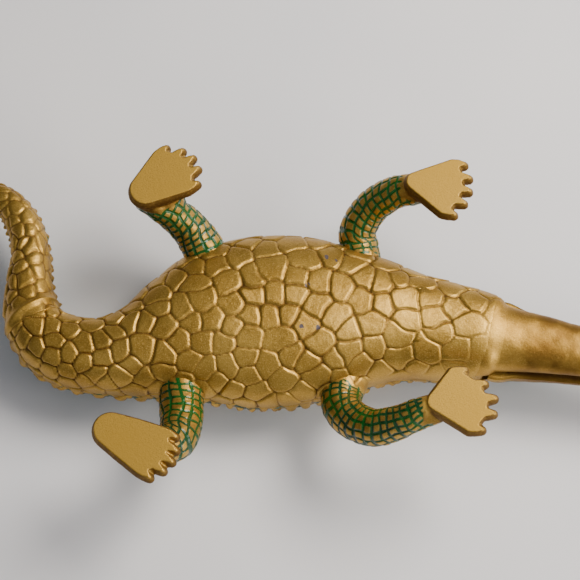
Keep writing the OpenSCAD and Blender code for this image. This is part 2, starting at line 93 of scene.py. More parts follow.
# Routes of the legs' centre lines, hip to ankle: x, y, z and radius.
# With each: the foot's heel, turn, length, half width, heel radius, bow and slant of its row of toes, and
# the green grid's line width, pitch, start and end along the route.
LEGS = {
    "front_left_leg": (
        [[-18, -9.5, 10.5, 3.7], [-18.8, -15, 11.3, 3.6], [-18, -18.2, 13, 3.4], [-15.6, -20.3, 15, 3.3],
         [-12.2, -21.4, 17.5, 3.2], [-8.5, -20.5, 20.3, 2.9], [-5.8, -18.8, 23, 2.3], [-4, -17.4, 24.4, 1.5]],
        (-4.95, -17.9), 16, (12.2, 5.9, 1.9, 0.86, 0.43), (0.18, 1.45, 4.4, 33.0)),
    "front_right_leg": (
        [[-19.4, 7.5, 10.5, 3.7], [-21, 11.8, 11.5, 3.5], [-21.8, 14.6, 13.5, 3.3], [-20.2, 17.8, 16.6, 3.1],
         [-17, 19.6, 20.2, 2.9], [-14, 20.2, 22.8, 2.4], [-12, 20, 24.4, 1.5]],
        (-15.4, 20.2), 1.5, (12.0, 5.5, 2.0, 0.42, -0.1), (0.18, 1.6, 2.6, 27.5)),
    "rear_left_leg": (
        [[-46.4, -16, 10.5, 4.1], [-45.4, -22, 12, 3.9], [-44.2, -26.6, 14.3, 3.6], [-44.2, -30.3, 17, 3.3],
         [-46.8, -32.6, 20, 3.0], [-50.4, -33, 22.4, 2.5], [-53, -32.6, 24.4, 1.6]],
        (-56.85, -31.8), -16, (15.2, 4.7, 3.1, 0.42, -0.1), (0.19, 1.65, 3.6, 32.0)),
    "rear_right_leg": (
        [[-45.6, 0.5, 10.5, 4.4], [-47.4, 5.2, 12, 3.9], [-50.3, 7.8, 15, 3.4], [-53.4, 8.6, 18.7, 3.0],
         [-56, 8.4, 22, 2.4], [-57.4, 8.4, 24.4, 1.6]],
        (-60, 7.1), 49.5, (13.8, 5.1, 3.1, 0.6, 0.05), (0.23, 1.6, 3.0, 29.0)),
}

# Jaw castings, hinge to tip: share of the jaw's length, half width, and height from the mouth line.
LOWER_JAW = np.array([
    [0.112, 5.85, 4.75], [0.15, 5.9, 4.8], [0.24, 5.4, 4.7], [0.36, 4.9, 4.5], [0.5, 4.35, 4.3],
    [0.66, 3.8, 4.0], [0.82, 3.45, 3.8], [0.91, 3.45, 3.7], [0.975, 2.7, 3.2], [1, 1.3, 2]])
UPPER_JAW = np.array([
    [0.12, 6.2, 7.7], [0.19, 6.3, 7.7], [0.28, 5.9, 6.7], [0.37, 5.4, 5.2], [0.5, 4.9, 4.5],
    [0.68, 4.4, 4.3], [0.83, 4.1, 4.2], [0.92, 4.1, 4], [0.985, 3.1, 3.3], [1.02, 1.5, 1.9]])

# Case screws: share of the way along the spine, and offset to the side.
CASE_SCREWS = [[6.3, 10.0], [6.3, -10.0], [9.3, 6.5], [9.3, -6.5]]
ARM_SCREWS = [[-8.5, 2.8], [-8.5, -2.8]]
CASE_SEAT_Z = 5.0
RIVET_X, JAW_RIVET_X = [-10, -26], [14, 26]


# --- Splines and surfaces ---

def spline(stations, u):
    """Catmull-Rom curve through the stations, at each u."""
    stations, u = np.asarray(stations, float), np.asarray(u, float)
    last = len(stations) - 1
    i = np.clip(np.floor(u).astype(int), 0, last - 1)
    t = (u - i)[..., None]
    a, b = stations[np.maximum(i - 1, 0)], stations[i]
    c, d = stations[i + 1], stations[np.minimum(i + 2, last)]
    return 0.5 * (2 * b + (c - a) * t + (2 * a - 5 * b + 4 * c - d) * t**2 + (3 * b - a - 3 * c + d) * t**3)


def heading(u):
    last = len(SPINE) - 1
    d = spline(SPINE, np.minimum(u + 0.05, last)) - spline(SPINE, np.maximum(u - 0.05, 0))
    return d[..., :2] / np.linalg.norm(d[..., :2], axis=-1, keepdims=True)


def squared(c):
    return np.sign(c) * np.abs(c) ** SQUARENESS


def from_spine(u, side, up):
    """Point beside the spine: side to its left, up from the seam."""
    q, h = spline(SPINE, u), heading(u)
    return np.stack([q[..., 0] - h[..., 1] * side, q[..., 1] + h[..., 0] * side, SEAM_Z + up], -1)


def skin(u, a, depth=0.0):
    """Point of the body's surface at u along the spine and angle a round it, sunk by depth."""
    u, a = np.broadcast_arrays(u, a)
    q, c, s = spline(SPINE, u), squared(np.cos(a)), squared(np.sin(a))
    height = np.where(s > 0, q[..., 3] * BELLY_RISE, q[..., 4] * BACK_DROP)
    return from_spine(u, c * (q[..., 2] * BODY_HALF_W - depth), s * (height - depth))


def back_at(u, side, depth=0.0):
    """Point of the back at a distance to the side of the spine, sunk by depth."""
    q = spline(SPINE, u)
    c = np.clip(np.abs(side) / (q[..., 2] * BODY_HALF_W - depth), 0, 1) ** (1 / SQUARENESS)
    up = -(q[..., 4] * BACK_DROP - depth) * np.sqrt(1 - c**2) ** SQUARENESS
    return from_spine(u, side, up)


def spine_u(x):
    """Where the spine reaches a given X."""
    fine = np.linspace(0, len(SPINE) - 1, 2000)
    return float(np.interp(-x, -spline(SPINE, fine)[:, 0], fine))


def even(curve, start, end, count):
    """count + 1 parameters that divide a curve into equal lengths."""
    fine = np.linspace(start, end, 900)
    steps = np.linalg.norm(np.diff(curve(fine), axis=0), axis=1)
    along = np.concatenate([[0], np.cumsum(steps)])
    return np.interp(np.linspace(0, along[-1], count + 1), along, fine)


def even_u(start, end, count):
    return even(lambda u: spline(SPINE, u)[:, :2], start, end, count)


def even_angles(start, end, count):
    middle = 7.5
    return even(lambda a: skin(np.full_like(a, middle), a), start, end, count)


def normals_of(grid):
    """Unit normals of a grid of points."""
    n = np.cross(np.gradient(grid, axis=0), np.gradient(grid, axis=1))
    return n / np.maximum(np.linalg.norm(n, axis=-1, keepdims=True), 1e-12)


def smooth(x, low, high):
    t = np.clip((x - low) / (high - low), 0, 1)
    return t * t * (3 - 2 * t)


def ripple(p, size, seed):
    """Soft noise of about unit height, with bumps of the given size."""
    rng = np.random.default_rng(seed)
    total = np.zeros(p.shape[:-1])
    for _ in range(6):
        direction = rng.normal(size=3)
        direction *= math.tau / (size * rng.uniform(0.7, 1.5) * np.linalg.norm(direction))
        total += np.sin(p @ direction + rng.uniform(0, math.tau))
    return total / 2.4


# --- Scales ---

def scale_size(u, a):
    """Least distance between the middles of two scales."""
    size = np.interp(u, [0, 2, 5, 9, 11, 12, 15, 18, 22], [3.9, 4.1, 3.7, 3.6, 3.3, 3.2, 2.9, 2.25, 1.2])
    return np.where(np.sin(a) < -0.1, size * 0.72, size)


def scatter_scales():
    """Middles of the scales over the whole body: thrown at random, then evened out."""
    rng = np.random.default_rng(11)
    count = 24000
    u, a = rng.uniform(0, 22, count), rng.uniform(0, math.tau, count)
    points, sizes = skin(u, a), scale_size(u, a) * rng.uniform(0.78, 1.12, count)
    kept = np.zeros((0, 3))
    for p, size in zip(points, sizes):
        if len(kept) == 0 or ((kept - p) ** 2).sum(1).min() > size * size:
            kept = np.vstack([kept, p])
    owner = nearest(points, kept, 1)[1][:, 0]
    tally = np.maximum(np.bincount(owner, minlength=len(kept)), 1)
    middle = np.stack([np.bincount(owner, points[:, k], len(kept)) for k in range(3)], 1)
    return 0.45 * kept + 0.55 * middle / tally[:, None]


def nearest(points, seeds, count):
    """Squared distances to the nearest seeds and their numbers, nearest first."""
    distances, numbers = [], []
    for start in range(0, len(points), 4000):
        p = points[start:start + 4000]
        d = (p**2).sum(1)[:, None] - 2 * p @ seeds.T + (seeds**2).sum(1)[None]
        near = np.argpartition(d, count, axis=1)[:, :count]
        d = np.take_along_axis(d, near, 1)
        order = np.argsort(d, axis=1)
        distances.append(np.take_along_axis(d, order, 1))
        numbers.append(np.take_along_axis(near, order, 1))
    return np.vstack(distances), np.vstack(numbers)


SCALES = scatter_scales()
rng = np.random.default_rng(5)
SCALE_LEVEL = rng.uniform(-0.09, 0.06, len(SCALES))
SCALE_TILT = rng.normal(0, 0.018, (len(SCALES), 3)) + np.array([0.026, -0.008, 0])
SCALE_REACH = rng.uniform(-0.32, 0.32, len(SCALES))


def scale_field(points):
    """Distance from the edge of its scale, that scale's number, and the scale's lean, at each point."""
    d, n = nearest(points, SCALES, 8)
    d = np.sqrt(np.maximum(d, 1e-6))
    towards = (points[:, None] - SCALES[n]) / d[..., None]
    d = d + SCALE_REACH[n] * np.clip(d[:, 1:2] / 2, 0, 1)
    order = np.argsort(d, axis=1)
    d, n = np.take_along_axis(d, order, 1), np.take_along_axis(n, order, 1)
    towards = np.take_along_axis(towards, order[..., None], 1)
    slope = np.linalg.norm(towards[:, 1:] - towards[:, :1], axis=2)
    edges = (d[:, 1:] - d[:, :1]) / np.maximum(slope, 0.4)
    rounding = 7.5
    edge = np.maximum(-np.log(np.exp(-rounding * edges).sum(1)) / rounding, 0)
    own = n[:, 0]
    lean = ((points - SCALES[own]) * SCALE_TILT[own]).sum(1)
    return edge, own, lean


def scaled(grid, depth=0.34, bevel=0.38, share=None):
    """Relief of the scales over a grid, and how deep each point lies in a crease, which the paint darkens as
    painted shade.
    """
    points = grid.reshape(-1, 3)
    wander = points + 0.22 * np.stack([ripple(points, 3.4, s) for s in (1, 2, 3)], 1)
    edge, own, lean = scale_field(wander)
    edge = edge.reshape(grid.shape[:2])
    plateau = (SCALE_LEVEL[own] + lean).reshape(grid.shape[:2]) * smooth(edge, 0, bevel)
    worn = np.clip(1 + 0.25 * ripple(points, 9, 8), 0.6, 1.3).reshape(edge.shape)
    relief = plateau - depth * worn * (1 - np.clip(edge / bevel, 0, 1)) ** 1.6
    relief = relief + 0.007 * ripple(points, 1.3, 4).reshape(grid.shape[:2])
    # crease: how much painted shade the grooves between the scales get
    crease = (1 - smooth(edge, 0.01, 0.18)) * np.clip(worn, 0, 1)
    if share is not None:
        relief, crease = relief * share, crease * share
    return relief, crease


# --- Meshes ---

def quads(grid):
    """Faces of a grid of vertex numbers."""
    corners = [grid[:-1, :-1], grid[:-1, 1:], grid[1:, 1:], grid[1:, :-1]]
    return np.stack(corners, -1).reshape(-1, 4)


def finished(name, vertices, faces, fields=None):
    """A closed mesh object in the frame's metres, its normals outwards, with its fields as attributes."""
    used = np.unique(np.concatenate([np.ravel(f) for f in faces]).astype(int))
    number = np.full(len(vertices), -1)
    number[used] = np.arange(len(used))
    faces = [[int(number[v]) for v in f] for f in faces]
    points = (np.asarray(vertices, float)[used] + SHIFT) * MM
    mesh = bpy.data.meshes.new(name)
    mesh.from_pydata(points.tolist(), [], faces)
    for field, values in (fields or {}).items():
        attribute = mesh.attributes.new(field, "FLOAT", "POINT")
        attribute.data.foreach_set("value", np.asarray(values, np.float32).ravel()[used])
    work = bmesh.new()
    work.from_mesh(mesh)
    if work.calc_volume(signed=True) < 0:
        bmesh.ops.reverse_faces(work, faces=work.faces)
        work.to_mesh(mesh)
    work.free()
    mesh.polygons.foreach_set("use_smooth", [True] * len(mesh.polygons))
    obj = bpy.data.objects.new(name, mesh)
    bpy.context.scene.collection.objects.link(obj)
    return obj


COARSE = 4


def shell(name, outer, inner, keep, fields):
    """Closed shell of a fine outer grid and a coarse inner grid. keep marks the coarse cells it has."""
    rows, cols = keep.shape
    fine = np.arange((rows * COARSE + 1) * (cols * COARSE + 1)).reshape(rows * COARSE + 1, -1)
    rough = fine.size + np.arange((rows + 1) * (cols + 1)).reshape(rows + 1, -1)
    kept = np.repeat(np.repeat(keep, COARSE, 0), COARSE, 1)
    faces = quads(fine)[kept.ravel()].tolist()
    faces += quads(rough)[keep.ravel()][:, ::-1].tolist()
    there = np.pad(keep, 1)
    for i, j in np.argwhere(keep):
        a, b = slice(i * COARSE, (i + 1) * COARSE + 1), slice(j * COARSE, (j + 1) * COARSE + 1)
        if not there[i, j + 1]:
            faces.append([*fine[a.start, b][::-1], rough[i, j], rough[i, j + 1]])
        if not there[i + 2, j + 1]:
            faces.append([*fine[a.stop - 1, b], rough[i + 1, j + 1], rough[i + 1, j]])
        if not there[i + 1, j]:
            faces.append([*fine[a, b.start], rough[i + 1, j], rough[i, j]])
        if not there[i + 1, j + 2]:
            faces.append([*fine[a, b.stop - 1][::-1], rough[i, j + 1], rough[i + 1, j + 1]])
    vertices = np.vstack([outer.reshape(-1, 3), inner.reshape(-1, 3)])
    padded = {k: np.concatenate([v.ravel(), np.zeros(inner.size // 3)]) for k, v in fields.items()}
    return finished(name, vertices, faces, padded)


def loft(name, rings, fields=None):
    """Closed solid through rings of the same number of points."""
    count, sides = rings.shape[:2]
    grid = np.arange(count * sides).reshape(count, sides)
    grid = np.hstack([grid, grid[:, :1]])
    caps = [grid[0, :-1].tolist(), grid[-1, :-1][::-1].tolist()]
    return finished(name, rings.reshape(-1, 3), quads(grid)[:, ::-1].tolist() + caps, fields)


def lathe(profile, sides=36):
    """Vertices and faces of a solid turned round Z: profile runs from the axis to the axis, as r and z."""
    a = np.arange(sides) * math.tau / sides
    inside = np.array(profile[1:-1], float)
    rings = np.stack([inside[:, :1] * np.cos(a), inside[:, :1] * np.sin(a),
                      np.repeat(inside[:, 1:], sides, 1)], -1)
    ends = [[0, 0, profile[0][1]], [0, 0, profile[-1][1]]]
    grid = np.arange(rings.shape[0] * sides).reshape(-1, sides)
    grid = np.hstack([grid, grid[:, :1]])
    low, high = grid.max() + 1, grid.max() + 2
    faces = quads(grid).tolist()
    faces += [[low, grid[0, k + 1], grid[0, k]] for k in range(sides)]
    faces += [[high, grid[-1, k], grid[-1, k + 1]] for k in range(sides)]
    return np.vstack([rings.reshape(-1, 3), ends]), faces


def together(name, solids):
    """One object of several solids, each its vertices and faces."""
    vertices, faces, base = [], [], 0
    for v, f in solids:
        vertices.append(v)
        faces += [[k + base for k in face] for face in f]
        base += len(v)
    return finished(name, np.vstack(vertices), faces)


def in_jaw_frame(points):
    """From the jaws' own frame, whose X is the mouth line and whose origin is the pin."""
    c, s = math.cos(JAW_LIFT), math.sin(JAW_LIFT)
    x, y, z = np.moveaxis(np.asarray(points, float), -1, 0)
    return np.stack([x * c - z * s, y, x * s + z * c + PIN_Z], -1)


def turned(points, angle):
    """Turned round Z."""
    c, s = math.cos(angle), math.sin(angle)
    x, y, z = np.moveaxis(np.asarray(points, float), -1, 0)
    return np.stack([x * c - y * s, x * s + y * c, z], -1)


def applied(obj):
    """obj with its modifiers made real."""
    graph = bpy.context.evaluated_depsgraph_get()
    mesh = bpy.data.meshes.new_from_object(obj.evaluated_get(graph))
    obj.modifiers.clear()
    obj.data = mesh
    return obj


def cut(obj, tool):
    """Takes the tool's shape out of obj, and removes the tool."""
    step = obj.modifiers.new("cut", "BOOLEAN")
    step.operation, step.object, step.solver = "DIFFERENCE", tool, "EXACT"
    applied(obj)
    bpy.data.objects.remove(tool)
    return obj


def layout_points(obj):
    """The object's vertices in layout millimetres."""
    points = np.zeros(len(obj.data.vertices) * 3)
    obj.data.vertices.foreach_get("co", points)
    return points.reshape(-1, 3) / MM - SHIFT


def vertex_normals(obj):
    normals = np.zeros(len(obj.data.vertices) * 3, np.float32)
    obj.data.vertex_normals.foreach_get("vector", normals)
    return normals.reshape(-1, 3)


def reshape(obj, points, fields=None):
    """Puts the vertices at new places in layout millimetres, and sets the fields."""
    obj.data.vertices.foreach_set("co", ((points + SHIFT) * MM).ravel())
    for field, values in (fields or {}).items():
        attribute = obj.data.attributes.new(field, "FLOAT", "POINT")
        attribute.data.foreach_set("value", np.asarray(values, np.float32))
    obj.data.update()
    obj.data.polygons.foreach_set("use_smooth", [True] * len(obj.data.polygons))


# --- Body ---

CHIPS = [(-26.2, 7.0, 0.95), (-28.2, 0.9, 0.8), (-27.6, -6.8, 0.75), (-24.9, -6.3, 0.8), (-24.4, 6.6, 0.6)]


def neck_fade(x, y):
    """Scales die out at the front of the neck, further back on the left side than on the right."""
    along = x - 0.35 * np.clip(y, -6, 6)
    return 1 - 0.45 * smooth(along, -4, 1) - 0.55 * smooth(along, 1.2, 4.4)


def cheeks(points):
    """Soft swelling on both sides of the neck's front, behind the corners of the mouth."""
    x, y, z = points[..., 0], np.abs(points[..., 1]), points[..., 2]
    return 0.75 * np.exp(-((x - 4.7) / 1.5) ** 2 - ((y - 5.4) / 2.0) ** 2 - ((z - 14) / 3.0) ** 2)


def flank_fade(u, a):
    """The flank ahead of the left front leg has no scales."""
    low = smooth(np.sin(a), 0.45, 0.2)
    return 1 - low * smooth(u, 5.3, 4.9) * smooth(u, 1.6, 2.2) * (np.cos(a) > 0)


def flank_bumps(u, a):
    """Row of small round pearls just below the seam, both sides."""
    fine = np.linspace(0, len(SPINE) - 1, 2000)
    pitch = np.interp(fine, [0, 12, 16, 18, 22], [2.9, 2.8, 1.9, 1.6, 1.2])
    beats = np.concatenate([[0], np.cumsum(np.diff(along_spine(fine)) / pitch[1:])])
    beat = np.interp(u, fine, beats)
    pitch = np.interp(u, fine, pitch)
    off_middle = (beat - np.round(beat)) * pitch / (0.34 * pitch)
    row = np.exp(-((np.sin(a) + 0.22) / 0.13) ** 2)
    dome = np.sqrt(np.clip(1 - off_middle**2, 0, 1))
    return row * dome * np.interp(u, [0, 3, 5, 12, 18, 20, 22], [0, 0, 0.6, 0.55, 0.55, 0.4, 0.1])


def along_spine(u):
    fine = np.linspace(0, len(SPINE) - 1, 2000)
    steps = np.linalg.norm(np.diff(spline(SPINE, fine)[:, :2], axis=0), axis=1)
    return np.interp(u, fine, np.concatenate([[0], np.cumsum(steps)]))


def back_paint(points, relief):
    """Green enamel of the back: thick between the scutes, thin on their tops, ragged at the seam."""
    ragged = 0.9 * ripple(points, 3.0, 21) + 0.35 * ripple(points, 0.9, 22)
    below = smooth(points[..., 2] + ragged, SEAM_Z - 0.6, SEAM_Z - 1.8)
    tops = smooth(relief, -0.12, 0.12)
    return below * (1 - 0.72 * tops)


def belly_skin():
    rows, cols = 97, 46
    u = even_u(1.0, SEAM_U, rows * COARSE)[:, None]
    a = even_angles(0, math.pi, cols * COARSE)[None]
    smooth_skin = skin(u, a)
    x = smooth_skin[..., 0]
    share = neck_fade(x, smooth_skin[..., 1]) * flank_fade(u, a)
    relief, crease = scaled(smooth_skin, share=share)
    rim = np.clip((x - (NECK_FRONT - 1.0)) / 1.0, 0, 1)
    relief = relief - 0.8 * (1 - np.sqrt(1 - 0.98 * rim**2)) + cheeks(smooth_skin)
    outer = smooth_skin + outwards(smooth_skin) * relief[..., None]
    outer[..., 2] = np.maximum(outer[..., 2], SEAM_Z + 0.02)
    inner = skin(u[::COARSE], a[:, ::COARSE], WALL)
    inner[..., 2] = np.maximum(inner[..., 2], SEAM_Z + 0.02)
    chip = sum(np.exp(-(((smooth_skin[..., :2] - np.array([cx, cy])) ** 2).sum(-1) / (r * 0.55) ** 2) ** 2)
               for cx, cy, r in CHIPS)
    chip = np.clip(chip * (1.2 + 0.9 * ripple(smooth_skin, 0.8, 31)), 0, 1)
    return shell("belly_skin", outer, inner, np.ones((rows, cols), bool), {"crease": crease, "chip": chip})


def outwards(grid):
    """Normals of a skin grid, pointing away from the spine."""
    n = normals_of(grid)
    middle = grid.mean(axis=1, keepdims=True)
    middle[..., 2] = SEAM_Z
    flip = np.sign(((grid - middle) * n).sum(-1).mean())
    return n * flip


def scute_places(first, last, count, side):
    """Middles and turns of two rows of scutes, side being their distance from the spine at each."""
    places = []
    for u in np.linspace(first, last, count):
        h = heading(np.array(u))
        for s in (-1, 1):
            places.append((from_spine(np.array(u), s * side(u), 0)[:2], h))
    return places


def raise_scutes(grid, places, floor_z, radius):
    """Draws the back down into keeled scutes whose keels reach floor_z. Returns how much each point moved."""
    z = grid[..., 2].copy()
    for middle, h in places:
        d = grid[..., :2] - middle
        long = np.abs(d @ h)
        wide = np.abs(d[..., 0] * h[1] - d[..., 1] * h[0])
        cone = floor_z + 1.35 * wide + 0.16 * long**2
        rim = np.hypot(long, wide * 1.1) / radius
        cone = cone + 6 * np.clip(rim - 1, 0, None)
        z = np.minimum(z, cone)
    drop = grid[..., 2] - z
    grid[..., 2] = z
    return drop


def back_skin():
    front, rear = spine_u(BACK_FRONT - RIM_BACK), spine_u(-THUMB_LEN - REAR_GAP)
    open_rows, tail_rows, flank_cols, middle_cols = 32, 38, 15, 16
    u = np.concatenate([even_u(front, rear, open_rows * COARSE),
                        even_u(rear, SEAM_U, tail_rows * COARSE)[1:]])[:, None]
    lean = math.acos(OPENING_SHARE ** (1 / SQUARENESS))
    a = np.concatenate([even_angles(math.pi, math.tau - lean - 2 * (math.pi / 2 - lean), flank_cols * COARSE),
                        even_angles(math.pi + lean, math.tau - lean, middle_cols * COARSE)[1:],
                        even_angles(math.tau - lean, math.tau, flank_cols * COARSE)[1:]])[None]
    smooth_skin = skin(u, a)
    relief, crease = scaled(smooth_skin, depth=0.3, bevel=0.6)
    bumps = flank_bumps(u, a)
    outer = smooth_skin + outwards(smooth_skin) * (relief + bumps)[..., None]
    places = scute_places(4.6, 10.2, 8, lambda v: 0.6 * spline(SPINE, np.array(v))[2] * BODY_HALF_W)
    drop = raise_scutes(outer, places, 0.0, 2.2)
    outer[..., 2] = np.clip(outer[..., 2], 0.0, SEAM_Z - 0.02)
    inner = skin(u[::COARSE], a[:, ::COARSE], WALL - THIN)
    inner[..., 2] = np.minimum(inner[..., 2], SEAM_Z - 0.02)
    keep = np.ones((open_rows + tail_rows, 2 * flank_cols + middle_cols), bool)
    keep[:open_rows, flank_cols:flank_cols + middle_cols] = False
    green = back_paint(outer, relief + bumps * 0.9 + smooth(drop, 0.3, 1.6) * 0.5)
    return shell("back_skin", outer, inner, keep, {"crease": crease, "green": green})


def thumb_skin():
    rows, cols = 40, 14
    u = even_u(spine_u(HEAD_REAR - 0.3), spine_u(-THUMB_LEN), rows * COARSE)[:, None]
    across = np.linspace(-1, 1, cols * COARSE + 1)[None]
    half = OPENING_SHARE * spline(SPINE, u)[..., 2] * BODY_HALF_W - OPENING_GAP
    smooth_skin = back_at(*np.broadcast_arrays(u, across * half))
    edge = np.minimum((1 - np.abs(across)) * half, 1.0)
    relief, crease = scaled(smooth_skin, depth=0.3, bevel=0.6)
    relief = relief - 0.35 * (1 - np.clip(edge / 0.6, 0, 1)) ** 2
    outer = smooth_skin + outwards(smooth_skin) * relief[..., None]
    drop = raise_scutes(outer, scute_places(3.6, 7.2, 6, lambda v: 2.4), 0.75, 1.7)
    coarse_u, coarse_side = np.broadcast_arrays(u[::COARSE], (across * half)[::COARSE, ::COARSE])
    inner = back_at(coarse_u, coarse_side, THUMB_T)
    green = back_paint(outer, relief + smooth(drop, 0.2, 1.0) * 0.5)
    return shell("thumb_skin", outer, inner, np.ones((rows, cols), bool), {"crease": crease, "green": green})


def tail_skin():
    rows, sides = 190, 132
    u = even_u(SEAM_U, len(SPINE) - 1, rows)[:, None]
    a = (np.arange(sides) * math.tau / sides)[None]
    smooth_skin = skin(u, a)
    closed = np.concatenate([smooth_skin[:, -1:], smooth_skin, smooth_skin[:, :1]], axis=1)
    normals = outwards(closed)[:, 1:-1]
    size = np.interp(u, [SEAM_U, 20, 22], [1, 0.8, 0.3])
    relief, crease = scaled(smooth_skin, depth=0.36, bevel=0.7)
    bead_u = SEAM_U + 0.42 - 0.3 * np.cos(a)
    bead = 0.34 * np.exp(-((u - bead_u) / 0.11) ** 2) * (1 + 0.12 * ripple(smooth_skin, 3, 41))
    bare = np.exp(-((u - bead_u) / 0.24) ** 4)
    bumps = flank_bumps(u, a)
    total = (relief * (1 - bare) + bead) * size + bumps
    total = total * smooth(u, SEAM_U, SEAM_U + 0.05)
    outer = smooth_skin + normals * total[..., None]
    green = back_paint(outer, relief + bumps * 0.8)
    return loft("tail_skin", outer, {"crease": crease * (1 - bare), "green": green})


# --- Legs ---

def hull_of(points):
    """Vertices and faces of the convex hull of some points."""
    work = bmesh.new()
    for p in points:
        work.verts.new(p)
    bmesh.ops.convex_hull(work, input=work.verts)
    loose = [v for v in work.verts if not v.link_faces]
    bmesh.ops.delete(work, geom=loose, context="VERTS")
    work.verts.index_update()
    vertices = np.array([v.co[:] for v in work.verts])
    faces = [[v.index for v in f.verts] for f in work.faces]
    work.free()
    return vertices, faces


def pad(x, y, r, top=FOOT_T, low=0.3):
    """Points of an upright disc with sloping sides: widest low down, its sole drawn in."""
    a = np.arange(24) * math.tau / 24
    levels = ((low, r - 0.30), (0.7, r + 0.06), (top - 0.9, r - 0.02), (top, r - 0.46))
    return [(x + wide * math.cos(t), y + wide * math.sin(t), z) for z, wide in levels for t in a]


def foot_solids(length, half_w, heel_r, bow, slant):
    """Foot with its heel at the origin, toes along +X and its sole up: palm, instep and five toes."""
    tips = {k: length - 0.8 - bow * k * k - slant * k for k in range(-2, 3)}
    roots = {k: (tips[k] - 2.0, k * (half_w - 1.1) / 2) for k in tips}
    palm = pad(heel_r, 0, heel_r) + pad(length * 0.47, 0, (heel_r + half_w) / 2 + 0.1)
    for x, y in roots.values():
        palm += pad(x, y, 1.1)
    instep = pad(length * 0.45, 0, half_w * 0.55, 1.0, -0.6) + pad(heel_r + 1.4, 0, 1.4, 1.0, -1.2)
    solids = [hull_of(palm), hull_of(instep)]
    for k, (x, y) in roots.items():
        tip_y = k * (half_w - 0.8) / 2
        solids.append(hull_of(pad(x, y, 1.1) + pad((x + tips[k]) / 2, (y + tip_y) / 2, 1.0)
                              + pad(tips[k], tip_y, 0.78, FOOT_T - 0.25)))
    return solids


def ankle_solid(route, heel, turn, heel_r):
    """Thick ankle from under the heel to the leg's last bend."""
    x, y, z, r = route[-3]
    a, b = np.meshgrid(np.arange(16) * math.tau / 16, np.linspace(-1.4, 1.4, 9))
    ball = np.stack([x + r * 0.96 * np.cos(b) * np.cos(a), y + r * 0.96 * np.cos(b) * np.sin(a),
                     z + r * 0.96 * np.sin(b)], -1).reshape(-1, 3)
    under = pad(heel_r + 0.05, 0, heel_r * 0.95, 1.6, -2.0) + pad(heel_r + 2.4, 0, heel_r + 0.5, 1.2, -0.8)
    under = turned(np.array(under), math.radians(turn))
    return hull_of(np.vstack([ball, under + np.array([*heel, SOLE_Z - FOOT_T])]))


def leg_frames(route, count):
    """Along a leg: parameter, middle, radius, and unit vectors along, across and up."""
    route = np.array(route, float)
    last = len(route) - 1
    u = np.linspace(0, last, count)
    q = spline(route, u)
    t = spline(route, np.minimum(u + 0.05, last)) - spline(route, np.maximum(u - 0.05, 0))
    t = t[:, :3] / np.linalg.norm(t[:, :3], axis=1, keepdims=True)
    across = np.cross(t, [0, 0, 1.0])
    across /= np.linalg.norm(across, axis=1, keepdims=True)
    return u, q[:, :3], q[:, 3], t, across, np.cross(across, t)


def leg_tube(route):
    """Vertices and faces of the leg's tube."""
    _, middle, r, _, across, up = leg_frames(route, 60)
    a = np.arange(40) * math.tau / 40
    rings = middle[:, None] + r[:, None, None] * (
        np.cos(a)[None, :, None] * across[:, None] + np.sin(a)[None, :, None] * up[:, None])
    grid = np.arange(rings.shape[0] * 40).reshape(-1, 40)
    grid = np.hstack([grid, grid[:, :1]])
    faces = quads(grid).tolist() + [grid[0, :-1][::-1].tolist(), grid[-1, :-1].tolist()]
    return rings.reshape(-1, 3), faces


def body_core(depth):
    """The body as a plain loft, sunk by depth, to cut the legs' roots with."""
    u = np.linspace(0.2, 16, 70)[:, None]
    a = (np.arange(64) * math.tau / 64)[None]
    return loft("core", skin(u, a, depth))


